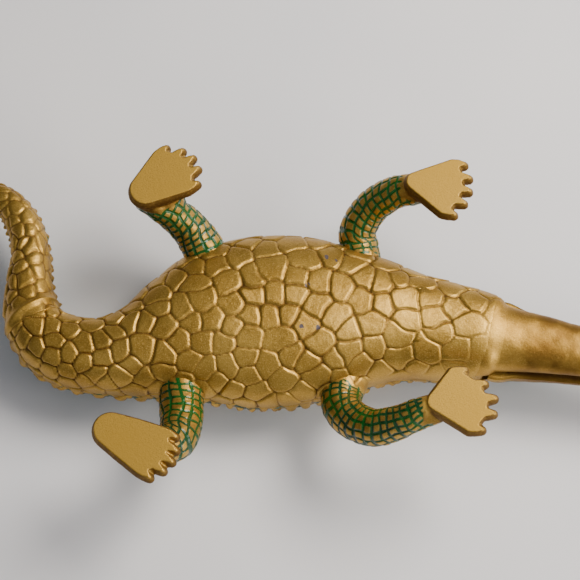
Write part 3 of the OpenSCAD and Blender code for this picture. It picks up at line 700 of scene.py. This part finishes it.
def leg_skin(name):
    route, heel, turn, shape, (line, pitch, start, end) = LEGS[name]
    solids = [leg_tube(route), ankle_solid(route, heel, turn, shape[2])]
    for v, f in foot_solids(*shape):
        placed = turned(v, math.radians(turn)) + np.array([heel[0], heel[1], SOLE_Z - FOOT_T])
        solids.append((placed, f))
    obj = together(name + "_skin", solids)
    obj.data.transform(scaling(1 / MM))
    melt = obj.modifiers.new("melt", "REMESH")
    melt.mode, melt.voxel_size, melt.adaptivity = "VOXEL", 0.17, 0
    ease = obj.modifiers.new("ease", "SMOOTH")
    ease.factor, ease.iterations = 0.5, 5
    applied(obj)
    obj.data.transform(scaling(MM))
    points = layout_points(obj)
    points[:, 2] = np.where(points[:, 2] > SOLE_Z - 0.16, SOLE_Z, points[:, 2])
    reshape(obj, points)
    cut(obj, body_core(0.5))
    points, normals = layout_points(obj), vertex_normals(obj)
    _, middle, _, along, across, up = leg_frames(route, 260)
    number = nearest(points, middle, 1)[1][:, 0]
    d = points - middle[number]
    reach = np.linalg.norm(d, axis=1)
    travel = np.concatenate([[0], np.cumsum(np.linalg.norm(np.diff(middle, axis=0), axis=1))])[number]
    travel = travel + (d * along[number]).sum(1)
    angle = np.arctan2((d * up[number]).sum(1), (d * across[number]).sum(1))
    lines = round(19 / pitch)
    ring = (travel + 0.28 * np.sin(2 * angle + 1) + 0.16 * ripple(points, 3, 51)) / pitch
    stripe = (angle / math.tau) * lines + 0.2 * np.sin(travel * 0.5) + 0.10 * ripple(points, 4, 52)
    edge = np.minimum(np.abs(ring - np.round(ring)) * pitch,
                      np.abs(stripe - np.round(stripe)) * math.tau / lines * np.minimum(reach, 3.5))
    rough = 0.5 * ripple(points, 1.6, 53)
    on = smooth(travel + rough, start, start + 0.8) * smooth(travel + rough, end, end - 1.2)
    toe_ward = turned(points - np.array([*heel, 0]), -math.radians(turn))[:, 0]
    foot = smooth(points[:, 2], SOLE_Z - FOOT_T - 0.7, SOLE_Z - FOOT_T) * smooth(toe_ward, -0.9, 0.1)
    on = on * (1 - foot)
    sole = normals[:, 2] > 0.9
    root, root_crease = scaled(points[:, None], depth=0.34)
    off_root = smooth(travel, start + 0.6, start - 0.4)
    relief = on * (-0.14 * (1 - smooth(edge, 0.05, 0.30))) + off_root * root[:, 0] * 0.8
    relief = relief + (0.05 * ripple(points, 2.2, 54)) * (1 - foot)
    green = on * (1 - smooth(edge, line, line + 0.14))
    under = smooth(normals[:, 2] + 0.25 * ripple(points, 1.8, 55), 0.15, -0.3)
    green = np.maximum(green, on * under * (0.62 + 0.38 * (1 - smooth(edge, 0.3, 0.5))))
    # painted shade in the scales' creases at the leg's root and in the grid's grooves
    crease = np.maximum(root_crease[:, 0] * off_root, on * (1 - smooth(edge, 0.1, 0.5)) * 0.5)
    # painted shade on the feet's sides
    side = foot * smooth(np.abs(normals[:, 2]), 0.75, 0.35)
    moved = points + normals * relief[:, None] * (~sole)[:, None]
    moved[:, 2] = np.minimum(moved[:, 2], SOLE_Z)
    reshape(obj, moved, {"crease": np.clip(crease + 0.92 * side, 0, 1), "green": green, "sole": foot * sole})
    return obj


def scaling(factor):
    return Matrix.Scale(factor, 4)


# --- Jaws ---

def jaw_rings(stations, face, side, count, sides, lip, waist):
    """Rings of a jaw casting: a half-round section on a mouth face whose lips draw back by lip(x)."""
    s = spline(stations, np.linspace(0, len(stations) - 1, count))
    x = s[:, :1] * JAW_LEN
    half_w, height = s[:, 1:2] + waist(x), s[:, 2:]
    a = np.linspace(0, math.pi, sides)[None]
    z_face = face(x)
    z_lip = z_face + side * lip(x)
    round_part = np.stack([np.repeat(x, sides, 1), half_w * squared(np.cos(a)),
                           z_lip + squared(np.sin(a)) * (side * height - z_lip)], -1)
    flat = np.linspace(-1, 1, 26)[None, 1:-1]
    mouth = np.stack([np.repeat(x, flat.shape[1], 1), half_w * flat,
                      z_face + side * lip(x) * smooth(np.abs(flat), 0.72, 1)], -1)
    return in_jaw_frame(np.concatenate([round_part, mouth], axis=1)), sides


def neck_blend(rings, sides):
    """Draws the lower jaw's first rings out to the neck's surface, so that the castings flow together."""
    start = NECK_FRONT - 2.0
    whole, rings = rings, rings[rings[:, 0, 0] < NECK_FRONT + 6]
    x = rings[:, :1, 0]
    u = np.interp(-x, -spline(SPINE, np.linspace(0, 4, 200))[:, 0], np.linspace(0, 4, 200))
    q = spline(SPINE, np.repeat(u, sides, 1))
    arch = rings[:, :sides]
    low = arch[:, :1, 2]
    rise = (arch[..., 2] - low) / (arch[..., 2].max(axis=1, keepdims=True) - low)
    top = SEAM_Z + q[..., 3] * BELLY_RISE
    z = low + rise * (top - low)
    s = np.clip((z - SEAM_Z) / (top - SEAM_Z), 0, 1) ** (1 / SQUARENESS)
    c = np.sqrt(np.clip(1 - s**2, 0, 1)) ** SQUARENESS
    facing = np.sign(arch[..., 1])
    sideways = np.abs(arch[..., 1]) / np.abs(arch[..., 1]).max(axis=1, keepdims=True)
    end = NECK_FRONT + 5.0 - 3.0 * sideways**2
    edge = -0.12 + 0.15 * smooth(x, start, start + 1.9)
    neck_y = q[..., 1] + facing * c * (q[..., 2] * BODY_HALF_W + edge)
    share = 1 - smooth(x, start + 2.1, end)
    arch[..., 1] += share * (neck_y - arch[..., 1])
    arch[..., 2] += share * (z + edge * (rise > 0.1) - arch[..., 2])
    half = np.abs(arch[:, :1, 1])
    mouth = rings[:, sides:]
    mouth[..., 1] = np.linspace(-1, 1, mouth.shape[1] + 2)[None, 1:-1] * half
    return np.concatenate([rings, whole[len(rings):]])


def prism(outline, z0, z1, place=lambda p: p):
    """Upright solid on an outline, as a tool to cut with."""
    n = len(outline)
    ring = [[*p, z] for z in (z0, z1) for p in outline]
    faces = [list(range(n))[::-1], list(range(n, 2 * n))]
    faces += [[k, (k + 1) % n, n + (k + 1) % n, n + k] for k in range(n)]
    return finished("tool", place(np.array(ring, float)), faces)


def arm_plan(x0, x1, y):
    near, far = y - x0 * math.tan(TOE_IN), y - x1 * math.tan(TOE_IN)
    return [(x0, near), (x1, far), (x1, -far), (x0, -near)][::-1]


def jaw_detail(obj, spots):
    """Faint hand-finished unevenness, and raised or sunk spots: x, y, z, radius and height each."""
    points, normals = layout_points(obj), vertex_normals(obj)
    relief = 0.05 * ripple(points, 6, 61) + 0.02 * ripple(points, 2.2, 62)
    crease = np.zeros(len(points))
    for x, y, z, r, h in spots:
        middle = in_jaw_frame([x, y, z])
        near = np.exp(-(((points - middle) ** 2).sum(1) / r**2))
        relief = relief + h * near
        # sunk spots get painted shade
        if h < 0:
            crease = np.maximum(crease, near)
    return points, normals, relief, crease


def lower_jaw_skin():
    root = [[(NECK_FRONT - back) / JAW_LEN, *LOWER_JAW[0, 1:]] for back in (2.0, 1.0)]
    rings = neck_blend(*jaw_rings(
        np.vstack([root, LOWER_JAW]), lambda x: 0.25 + 0.02 * np.maximum(x, 0), 1, 190, 90,
        lip=lambda x: 0.95 * smooth(x, 5, 16) * smooth(x, JAW_LEN, JAW_LEN * 0.88),
        waist=lambda x: -0.05 * smooth(x, 8, 22)))
    obj = loft("lower_jaw_skin", rings[:, ::-1])
    cut(obj, prism(arm_plan(-1, ARM_TIP + 0.3, LOWER_EAR_Y + FIT_GAP), -1, LOWER_WEB_Z, in_jaw_frame))
    points, normals, relief, _ = jaw_detail(obj, [])
    # mouth: the lower jaw's mouth face, which keeps no relief and gets painted shade through the crease field
    mouth = smooth(normals[:, 2], -0.2, -0.6)
    share = neck_fade(points[:, 0], points[:, 1]) * smooth(points[:, 2], SEAM_Z + 2, SEAM_Z + 4)
    scales, grooves = scaled(points[:, None], share=share[:, None])
    relief = relief * (1 - share) + scales[:, 0] + cheeks(points) * smooth(points[:, 0], 9, 4)
    # the last field: brown that darkens the jaw away from the neck, partly the paint's own mottle, partly
    # painted reflection
    reshape(obj, points + normals * (relief * (1 - mouth))[:, None],
            {"crease": np.maximum(0.9 * mouth, grooves[:, 0]),
             "jaw_mottle_and_reflection": smooth(points[:, 0] + 0.8 * ripple(points, 5, 64), 5, 13)})
    return obj


def neck_solids():
    """The head's round base below the seam."""
    u = np.linspace(spine_u(6.0), spine_u(HEAD_REAR), 12)[:, None]
    a = np.linspace(math.pi, math.tau, 60)[None]
    base = skin(u, a)
    base[..., 2] = np.minimum(base[..., 2], SEAM_Z - 0.6)
    return base


def upper_jaw_skin():
    rings, _ = jaw_rings(UPPER_JAW, lambda x: -0.25 + 0 * x, -1, 160, 96,
                         lip=lambda x: 0.12 * smooth(x, 8, 20),
                         waist=lambda x: 0.1 * smooth(x, 7, 14) + 0.9 * smooth(x, 10, 6))
    obj = loft("upper_jaw_skin", rings)
    obj.data.transform(scaling(1 / MM))
    neck = loft("neck", neck_solids())
    neck.data.transform(scaling(1 / MM))
    joined = obj.modifiers.new("join", "BOOLEAN")
    joined.operation, joined.object, joined.solver = "UNION", neck, "EXACT"
    applied(obj)
    bpy.data.objects.remove(neck)
    obj.data.transform(scaling(MM))
    cut(obj, prism(arm_plan(0, ARM_TIP + 0.3, UPPER_EAR_Y + FIT_GAP), UPPER_WEB_Z, 7, in_jaw_frame))
    half = LOWER_EAR_Y + FIT_GAP
    box = [(-10, -half), (5.6, -half), (5.6, half), (-10, half)]
    cut(obj, prism(box, THUMB_WEB_Z, 3.5, in_jaw_frame))
    ex, ey, ez = EYE_AT
    spots = [(ex, s * (ey + 0.1), ez - 0.4, 2.1, 0.5) for s in (-1, 1)]
    spots += [(JAW_LEN * 0.95, s * 1.5, -3.9, 0.9, 0.45) for s in (-1, 1)]
    spots += [(JAW_LEN * 0.955, s * 1.5, -4.3, 0.35, -0.5) for s in (-1, 1)]
    points, normals, relief, crease = jaw_detail(obj, spots)
    outside = normals[:, 2] < 0.5
    lip = np.interp(points[:, 0], UPPER_JAW[:, 0] * JAW_LEN, UPPER_JAW[:, 1]) - np.abs(points[:, 1])
    # painted shade on the mouth's face, inside a gold strip along the lip, added to the sunk nostrils'
    # painted shade
    crease = np.maximum(crease, 0.95 * smooth(normals[:, 2], 0.3, 0.7) * smooth(lip, 0.55, 0.75))
    paint = back_paint(points, np.full(len(points), -0.2) + 0.25 * ripple(points, 2.2, 63))
    # the last field: brown that darkens the jaw away from the neck, partly the paint's own mottle, partly
    # painted reflection
    reshape(obj, points + normals * (relief * outside)[:, None],
            {"crease": crease, "green": paint * smooth(points[:, 0], 33, 24) * 0.8,
             "jaw_mottle_and_reflection": smooth(points[:, 0], 5, 13)})
    return obj


# --- Fasteners and spring ---

def screw_profile(shank_r, shank, head_r, head_h):
    """Pan-head screw, its shank up from Z = 0 and its head below."""
    threads = []
    pitch = 0.5
    for k in range(int(shank / pitch) - 1):
        z = 0.4 + k * pitch
        threads += [(shank_r - 0.16, z), (shank_r, z + pitch / 2)]
    return [(0, -head_h), (head_r * 0.55, -head_h), (head_r * 0.86, -head_h * 0.86), (head_r, -head_h * 0.45),
            (head_r, -0.05), (head_r - 0.05, 0), (shank_r - 0.05, 0.02), *threads,
            (shank_r - 0.16, shank - 0.35), (shank_r * 0.5, shank), (0, shank)]


def cross_slot(middle, reach, depth, z):
    """Two crossed bars, as a tool that cuts a cross recess into a head."""
    half_w = 0.22
    solids = []
    for long, wide in ((reach, half_w), (half_w, reach)):
        corners = [(-long, -wide), (long, -wide), (long, wide), (-long, wide)]
        ring = [[middle[0] + x, middle[1] + y, h] for h in (z - 1, z + depth) for x, y in corners]
        faces = [[3, 2, 1, 0], [4, 5, 6, 7]] + [[k, (k + 1) % 4, 4 + (k + 1) % 4, 4 + k] for k in range(4)]
        solids.append((np.array(ring, float), faces))
    return solids


def screw_set(name, spots, shank, head_r, head_h, seat_z, recess, place=lambda p: p):
    """Screws driven up into a seat, with a cross recess in each head: recess is its reach and depth."""
    vertices, faces = lathe(screw_profile(1.0, shank, head_r, head_h))
    obj = together(name, [(place(vertices + np.array([x, y, seat_z])), faces) for x, y in spots])
    for spot in spots:
        for bar, bar_faces in cross_slot(spot, *recess, seat_z - head_h):
            cut(obj, together("tool", [(place(bar), bar_faces)]))
    return obj


def case_spots():
    return [from_spine(np.array(u), offset, 0)[:2] for u, offset in CASE_SCREWS]


def rivet_pieces():
    dome = [(1.5 * math.cos(t), 0.6 + 0.5 * math.sin(t)) for t in np.linspace(0, math.pi / 2, 8)]
    profile = [(0, -0.74), (0.8, -0.74), (0.9, -0.64), (0.9, 0.6), *dome[:-1], (0, 1.1)]
    vertices, faces = lathe(profile)
    solids = []
    for x in RIVET_X:
        at = turned(np.array([x, 0, THUMB_WEB_Z]), THUMB_TILT)
        solids.append((in_jaw_frame(vertices + at), faces))
    for x in JAW_RIVET_X:
        solids.append((in_jaw_frame(vertices + np.array([x, 0, UPPER_WEB_Z])), faces))
    return together("arm_rivet_set", solids)


def pin_piece():
    half, r = LOWER_EAR_Y + 0.4, 1.0
    profile = [(0, -half - 0.05), (0.6, -half), (0.95, -half + 0.15), (r, -half + 0.3)]
    head = [(r, 0.2), (1.4, 0.22), (1.5, 0.3), (1.4, 0.52), (0.9, 0.66), (0, 0.7)]
    profile += [(wide, LOWER_EAR_Y + z) for wide, z in head]
    vertices, faces = lathe(profile, 48)
    sideways = np.stack([vertices[:, 0], -vertices[:, 2], vertices[:, 1]], 1)
    return together("hinge_pin_detail", [(in_jaw_frame(sideways), faces)])


def spring_piece():
    """Wire along a straight tail, round the coil and out along the other tail."""
    reach, tail_angle = 2.1 - 0.35, math.radians(152)
    phi = np.linspace(0, math.tau * TURNS + tail_angle, 420)
    coil = np.stack([COIL_R * np.sin(phi), np.interp(phi, [phi[0], phi[-1]], [reach, -reach]),
                     COIL_R * np.cos(phi)], 1)
    lead = np.stack([np.linspace(-7, -0.3, 20), np.full(20, reach), np.full(20, COIL_R)], 1)
    out = np.array([math.cos(tail_angle), 0, -math.sin(tail_angle)])
    tail = coil[-1] + np.linspace(0.3, 7.5, 20)[:, None] * out
    path = in_jaw_frame(np.vstack([lead, coil, tail]))
    along = np.gradient(path, axis=0)
    along /= np.linalg.norm(along, axis=1, keepdims=True)
    side = np.cross(along, [0, 1.0, 0])
    side /= np.linalg.norm(side, axis=1, keepdims=True)
    over = np.cross(along, side)
    a = (np.arange(12) * math.tau / 12)[None, :, None]
    rings = path[:, None] + WIRE_R * (np.cos(a) * side[:, None] + np.sin(a) * over[:, None])
    return loft("spring_wire", rings)


def eye_piece(name, side):
    """Eyeball with a slightly raised iris facing out to the side and back."""
    t = np.linspace(0, math.pi, 24)
    r = EYE_R - 0.03 + 0.05 * (t < 0.45)
    profile = [(radius * math.sin(v), -radius * math.cos(v)) for radius, v in zip(r, t)]
    profile[0], profile[-1] = (0, profile[0][1]), (0, profile[-1][1])
    vertices, faces = lathe(profile, 40)
    tip = math.radians(-50)
    c, s = math.cos(tip), math.sin(tip)
    turned_out = np.stack([vertices[:, 0], side * (vertices[:, 1] * c - vertices[:, 2] * s),
                           vertices[:, 1] * s + vertices[:, 2] * c], 1)
    middle = np.array([EYE_AT[0], side * EYE_AT[1], EYE_AT[2]])
    return together(name, [(in_jaw_frame(turned_out + middle), faces)])


def boss_pieces():
    """Bosses inside the belly that take the case screws and the steel arm's screws."""
    solids = []
    for (u, offset), (x, y) in zip(CASE_SCREWS, case_spots()):
        half_w = spline(SPINE, np.array(u))[2] * BODY_HALF_W
        top = skin(np.array(u), np.arccos(offset / half_w))[2]
        v, f = lathe([(0, 6.8), (1.7, 6.8), (2.0, 7.1), (2.1, 10), (2.4, top - 1.6), (0, top - 1.2)])
        solids.append((v + np.array([x, y, 0]), f))
    for x, y in ARM_SCREWS:
        v, f = lathe([(0, 0), (1.8, 0), (2.0, 0.2), (2.3, 2.6), (0, 2.9)])
        solids.append((in_jaw_frame(v + np.array([x, y, LOWER_WEB_Z])), f))
    v, f = lathe([(0, 9.75), (1.8, 9.75), (2.0, 10), (2.4, 16.4), (0, 16.8)])
    solids.append((v + np.array([-20, -1.6, 0]), f))
    return together("belly_bosses", solids)


# --- Materials ---

class Nodes:
    """Short calls for building one material's node tree."""

    def __init__(self, name):
        self.material = bpy.data.materials.new(name)
        self.material.use_nodes = True
        self.tree = self.material.node_tree
        self.shader = self.tree.nodes["Principled BSDF"]
        self.place = self.tree.nodes.new("ShaderNodeTexCoord").outputs["Object"]

    def link(self, value, socket):
        if isinstance(value, bpy.types.NodeSocket):
            self.tree.links.new(value, socket)
        else:
            socket.default_value = value

    def noise(self, size_mm, detail=2.0, roughness=0.5):
        node = self.tree.nodes.new("ShaderNodeTexNoise")
        self.link(self.place, node.inputs["Vector"])
        node.inputs["Scale"].default_value = 1 / (size_mm * MM)
        node.inputs["Detail"].default_value = detail
        node.inputs["Roughness"].default_value = roughness
        return node.outputs["Fac"]

    def field(self, name):
        node = self.tree.nodes.new("ShaderNodeAttribute")
        node.attribute_name = name
        return node.outputs["Fac"]

    def ramp(self, value, low, high, from_value=0.0, to_value=1.0):
        node = self.tree.nodes.new("ShaderNodeMapRange")
        node.interpolation_type = "SMOOTHSTEP"
        for socket, v in zip(node.inputs, (value, low, high, from_value, to_value)):
            self.link(v, socket)
        return node.outputs[0]

    def math(self, operation, a, b=0.0):
        node = self.tree.nodes.new("ShaderNodeMath")
        node.operation = operation
        self.link(a, node.inputs[0])
        self.link(b, node.inputs[1])
        return node.outputs[0]

    def mix(self, factor, a, b):
        node = self.tree.nodes.new("ShaderNodeMix")
        node.data_type = "RGBA"
        for key, v in (("Factor_Float", factor), ("A_Color", a), ("B_Color", b)):
            socket = next(s for s in node.inputs if s.identifier == key)
            self.link((*v, 1) if isinstance(v, tuple) and len(v) == 3 else v, socket)
        return next(s for s in node.outputs if s.identifier == "Result_Color")

    def bump(self, height, distance_mm, strength=1.0):
        node = self.tree.nodes.new("ShaderNodeBump")
        node.inputs["Strength"].default_value = strength
        node.inputs["Distance"].default_value = distance_mm * MM
        self.link(height, node.inputs["Height"])
        self.link(node.outputs["Normal"], self.shader.inputs["Normal"])

    def set(self, **values):
        for key, v in values.items():
            self.link(v, self.shader.inputs[key.replace("_", " ")])
        return self.material


def gold_paint(name, gold, light_gold, flake_gold, rough, relief):
    """Satin gold paint with fine flakes, painted shade of dark brown in the creases, and green enamel over it
    where painted.

    The pieces' fields steer it: crease (painted shade), green, chip, sole, and a last field of brown streaks
    on the jaws, partly the paint's own mottle and partly painted reflection.
    """
    n = Nodes(name)
    crease, green, chip, sole = n.field("crease"), n.field("green"), n.field("chip"), n.field("sole")
    # brown streaks that darken the jaws away from the neck: partly the paint's own mottle, partly painted
    # reflection
    jaw_mottle_and_reflection = n.math("MULTIPLY", n.field("jaw_mottle_and_reflection"), n.ramp(n.noise(3.0, 2, 0.5), 0.38, 0.64, 0.60, 0.88))
    flake, cloud, speck = n.noise(0.22, 3, 0.7), n.noise(7.0, 3, 0.55), n.noise(0.45, 2, 0.6)
    colour = n.mix(n.ramp(cloud, 0.35, 0.68), gold, light_gold)
    colour = n.mix(n.ramp(flake, 0.50, 0.72, 0, 0.5), colour, flake_gold)
    colour = n.mix(n.ramp(flake, 0.46, 0.30, 0, 0.6), colour, (0.20, 0.105, 0.018))
    colour = n.mix(jaw_mottle_and_reflection, colour, (0.14, 0.066, 0.009))
    # painted shade: dark brown in the creases, the mouths' faces, the sunk nostrils and the feet's sides
    crease_shade = n.math("MULTIPLY", crease, n.ramp(speck, 0.2, 0.6, 0.6, 0.95))
    colour = n.mix(crease_shade, colour, (0.085, 0.036, 0.008))
    colour = n.mix(n.math("MULTIPLY", sole, 0.75), colour, (0.45, 0.275, 0.040))
    wear = n.ramp(n.noise(0.20, 3, 0.7), 0.46, 0.68, 0, 0.55)
    wear = n.math("MULTIPLY", wear, n.ramp(cloud, 0.3, 0.7, 0.3, 1.0))
    colour = n.mix(n.math("MULTIPLY", sole, wear), colour, (0.13, 0.066, 0.014))
    colour = n.mix(n.ramp(chip, 0.35, 0.65), colour, (0.085, 0.066, 0.070))
    enamel = n.mix(n.ramp(cloud, 0.4, 0.62), (0.004, 0.078, 0.006), (0.003, 0.044, 0.010))
    painted = n.ramp(green, 0.3, 0.62)
    colour = n.mix(painted, colour, enamel)
    metal = n.math("MULTIPLY", n.ramp(painted, 0, 1, 0.86, 0.05), n.ramp(chip, 0.3, 0.7, 1, 0.2))
    rough = n.math("ADD", n.ramp(painted, 0, 1, rough, 0.10), n.ramp(flake, 0.3, 0.7, 0.0, 0.14))
    rough = n.math("ADD", rough, n.ramp(n.math("MAXIMUM", crease, sole), 0.2, 1, 0.0, 0.2))
    n.bump(n.math("ADD", n.math("MULTIPLY", flake, 0.5), speck), relief)
    return n.set(Base_Color=colour, Metallic=metal, Roughness=rough)


def plated_steel(name, colour, rough):
    """Drawn and tumbled steel: fine scratches, cloudy tarnish."""
    n = Nodes(name)
    scratch, cloud = n.noise(0.12, 4, 0.75), n.noise(3.0, 3, 0.6)
    tint = n.mix(n.ramp(cloud, 0.42, 0.7), colour, tuple(0.55 * c for c in colour))
    n.bump(scratch, 0.010)
    worn = n.ramp(scratch, 0.25, 0.75, rough - 0.06, rough + 0.12)
    return n.set(Base_Color=tint, Metallic=1.0, Roughness=worn)


def eye_gloss():
    """Black lacquer with a green depth."""
    n = Nodes("eye_gloss")
    tint = n.mix(n.ramp(n.noise(0.5, 3), 0.4, 0.65), (0.006, 0.008, 0.006), (0.01, 0.035, 0.018))
    n.bump(n.noise(0.3, 1), 0.004)
    return n.set(Base_Color=tint, Roughness=0.08, Coat_Weight=0.6, Coat_Roughness=0.05)


def floor_cloth():
    """Plain pale floor with the faintest mottle."""
    n = Nodes("pale_floor")
    tint = n.mix(n.ramp(n.noise(60, 2), 0.3, 0.7), (0.77, 0.76, 0.775), (0.82, 0.80, 0.80))
    n.bump(n.noise(0.5, 3), 0.03, 0.3)
    return n.set(Base_Color=tint, Roughness=0.9)


# --- Assembly ---

def fit(piece, body, slot, material, *nodes):
    """Gives a piece its body and material, and hides the CAD nodes that it stands for. The slot is not used.
    """
    piece.data.materials.clear()
    piece.data.materials.append(material)
    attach(piece, body)
    if nodes:
        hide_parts(*nodes)
    return piece


body_gold = gold_paint(
    "gold_body_paint", (0.38, 0.215, 0.033), (0.50, 0.30, 0.056), (0.86, 0.58, 0.18),
    rough=0.35, relief=0.034)
leg_gold = gold_paint(
    "gold_leg_paint", (0.44, 0.255, 0.044), (0.54, 0.33, 0.068), (0.80, 0.52, 0.15),
    rough=0.36, relief=0.030)
jaw_gold = gold_paint(
    "gold_jaw_paint", (0.38, 0.210, 0.032), (0.50, 0.295, 0.054), (0.82, 0.54, 0.16),
    rough=0.38, relief=0.034)
steel = plated_steel("steel_plate", (0.58, 0.575, 0.57), 0.30)
spring_steel = plated_steel("spring_steel_wire", (0.36, 0.36, 0.37), 0.26)
brass = plated_steel("brass_metal", (0.66, 0.49, 0.20), 0.28)

fit(belly_skin(), "root", "gold_body", body_gold, "belly_shell")
fit(boss_pieces(), "root", "gold_body", body_gold)
fit(back_skin(), "root", "gold_body", body_gold, "back_shell")
fit(tail_skin(), "root", "gold_body", body_gold, "tail_end")
for leg in LEGS:
    fit(leg_skin(leg), "root", "gold_leg", leg_gold, leg)
fit(lower_jaw_skin(), "root", "gold_jaw", jaw_gold, "lower_jaw")
fit(upper_jaw_skin(), "lever", "gold_jaw", jaw_gold, "upper_jaw")
fit(thumb_skin(), "lever", "gold_body", body_gold, "thumb_plate")
case_screws = screw_set("case_screw_set", case_spots(), 7.5, 1.9, 1.4, CASE_SEAT_Z, (1.0, 0.7))
arm_screws = screw_set(
    "arm_screw_set", ARM_SCREWS, 2.1, 1.7, 0.9, LOWER_WEB_Z - SHEET, (0.9, 0.45), in_jaw_frame)
fit(case_screws, "root", "brass", brass, "case_screws")
fit(arm_screws, "root", "steel", steel, "lower_arm_screws")
fit(rivet_pieces(), "lever", "steel", steel, "upper_arm_rivets")
fit(pin_piece(), "root", "steel", steel, "hinge_pin")
glossy = eye_gloss()
fit(eye_piece("left_eyeball", -1), "lever", "eye", glossy, "left_eye")
fit(eye_piece("right_eyeball", 1), "lever", "eye", glossy, "right_eye")

spring = spring_piece()
spring.data.materials.append(spring_steel)
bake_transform(spring)
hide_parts("torsion_spring")

own_material = {"lower_arm": steel, "upper_arm": steel, "pin_sleeve": brass, "tail_spigot": brass}
for node, material in own_material.items():
    mesh = frame["nodes"][node].data
    mesh.materials.clear()
    mesh.materials.append(material)


# --- Floor, light and camera ---

def make_floor():
    bpy.ops.mesh.primitive_plane_add(size=3, location=(0, 0, -0.0001))
    floor = bpy.context.object
    floor.name = "floor"
    floor.data.materials.append(floor_cloth())


def make_light(name, azimuth, elevation, distance, size, power, colour):
    """Square soft light that looks at the clip."""
    a, e = math.radians(azimuth), math.radians(elevation)
    towards = Vector((math.cos(a) * math.cos(e), math.sin(a) * math.cos(e), math.sin(e)))
    data = bpy.data.lights.new(name, "AREA")
    data.size, data.energy, data.color = size, power, colour
    light = bpy.data.objects.new(name, data)
    light.location = towards * distance
    light.rotation_euler = towards.to_track_quat("Z", "Y").to_euler()
    bpy.context.scene.collection.objects.link(light)


def make_camera():
    azimuth, elevation, distance = math.radians(11.75), math.radians(70), 0.300
    target = Vector((-5.5, 9.51, 9)) * MM
    back = Vector((math.sin(azimuth) * math.cos(elevation), -math.cos(azimuth) * math.cos(elevation),
                   math.sin(elevation)))
    data = bpy.data.cameras.new("camera")
    data.angle = math.radians(19.365)
    data.clip_start, data.clip_end = 0.01, 10
    camera = bpy.data.objects.new("camera", data)
    camera.location = target + back * distance
    camera.rotation_euler = back.to_track_quat("Z", "Y").to_euler()
    bpy.context.scene.collection.objects.link(camera)
    bpy.context.scene.camera = camera


def make_world():
    world = bpy.data.worlds.new("world")
    world.use_nodes = True
    tree = world.node_tree
    background = tree.nodes["Background"]
    background.inputs["Color"].default_value = (0.90, 0.93, 1.0, 1)
    direction = tree.nodes.new("ShaderNodeSeparateXYZ")
    tree.links.new(tree.nodes.new("ShaderNodeTexCoord").outputs["Generated"], direction.inputs[0])
    brightness = tree.nodes.new("ShaderNodeMapRange")
    tree.links.new(direction.outputs["X"], brightness.inputs["Value"])
    for socket, value in (("From Min", -1), ("From Max", 1), ("To Min", 0.03), ("To Max", 0.50)):
        brightness.inputs[socket].default_value = value
    tree.links.new(brightness.outputs["Result"], background.inputs["Strength"])
    bpy.context.scene.world = world


make_floor()
make_light("key", 46, 54, 0.36, 0.18, 1.62, (1.0, 0.95, 0.88))
make_light("window", -12, 30, 0.45, 0.22, 1.1, (1.0, 0.95, 0.90))
make_light("fill", 235, 50, 0.70, 0.50, 0.30, (0.90, 0.94, 1.0))
make_world()
make_camera()
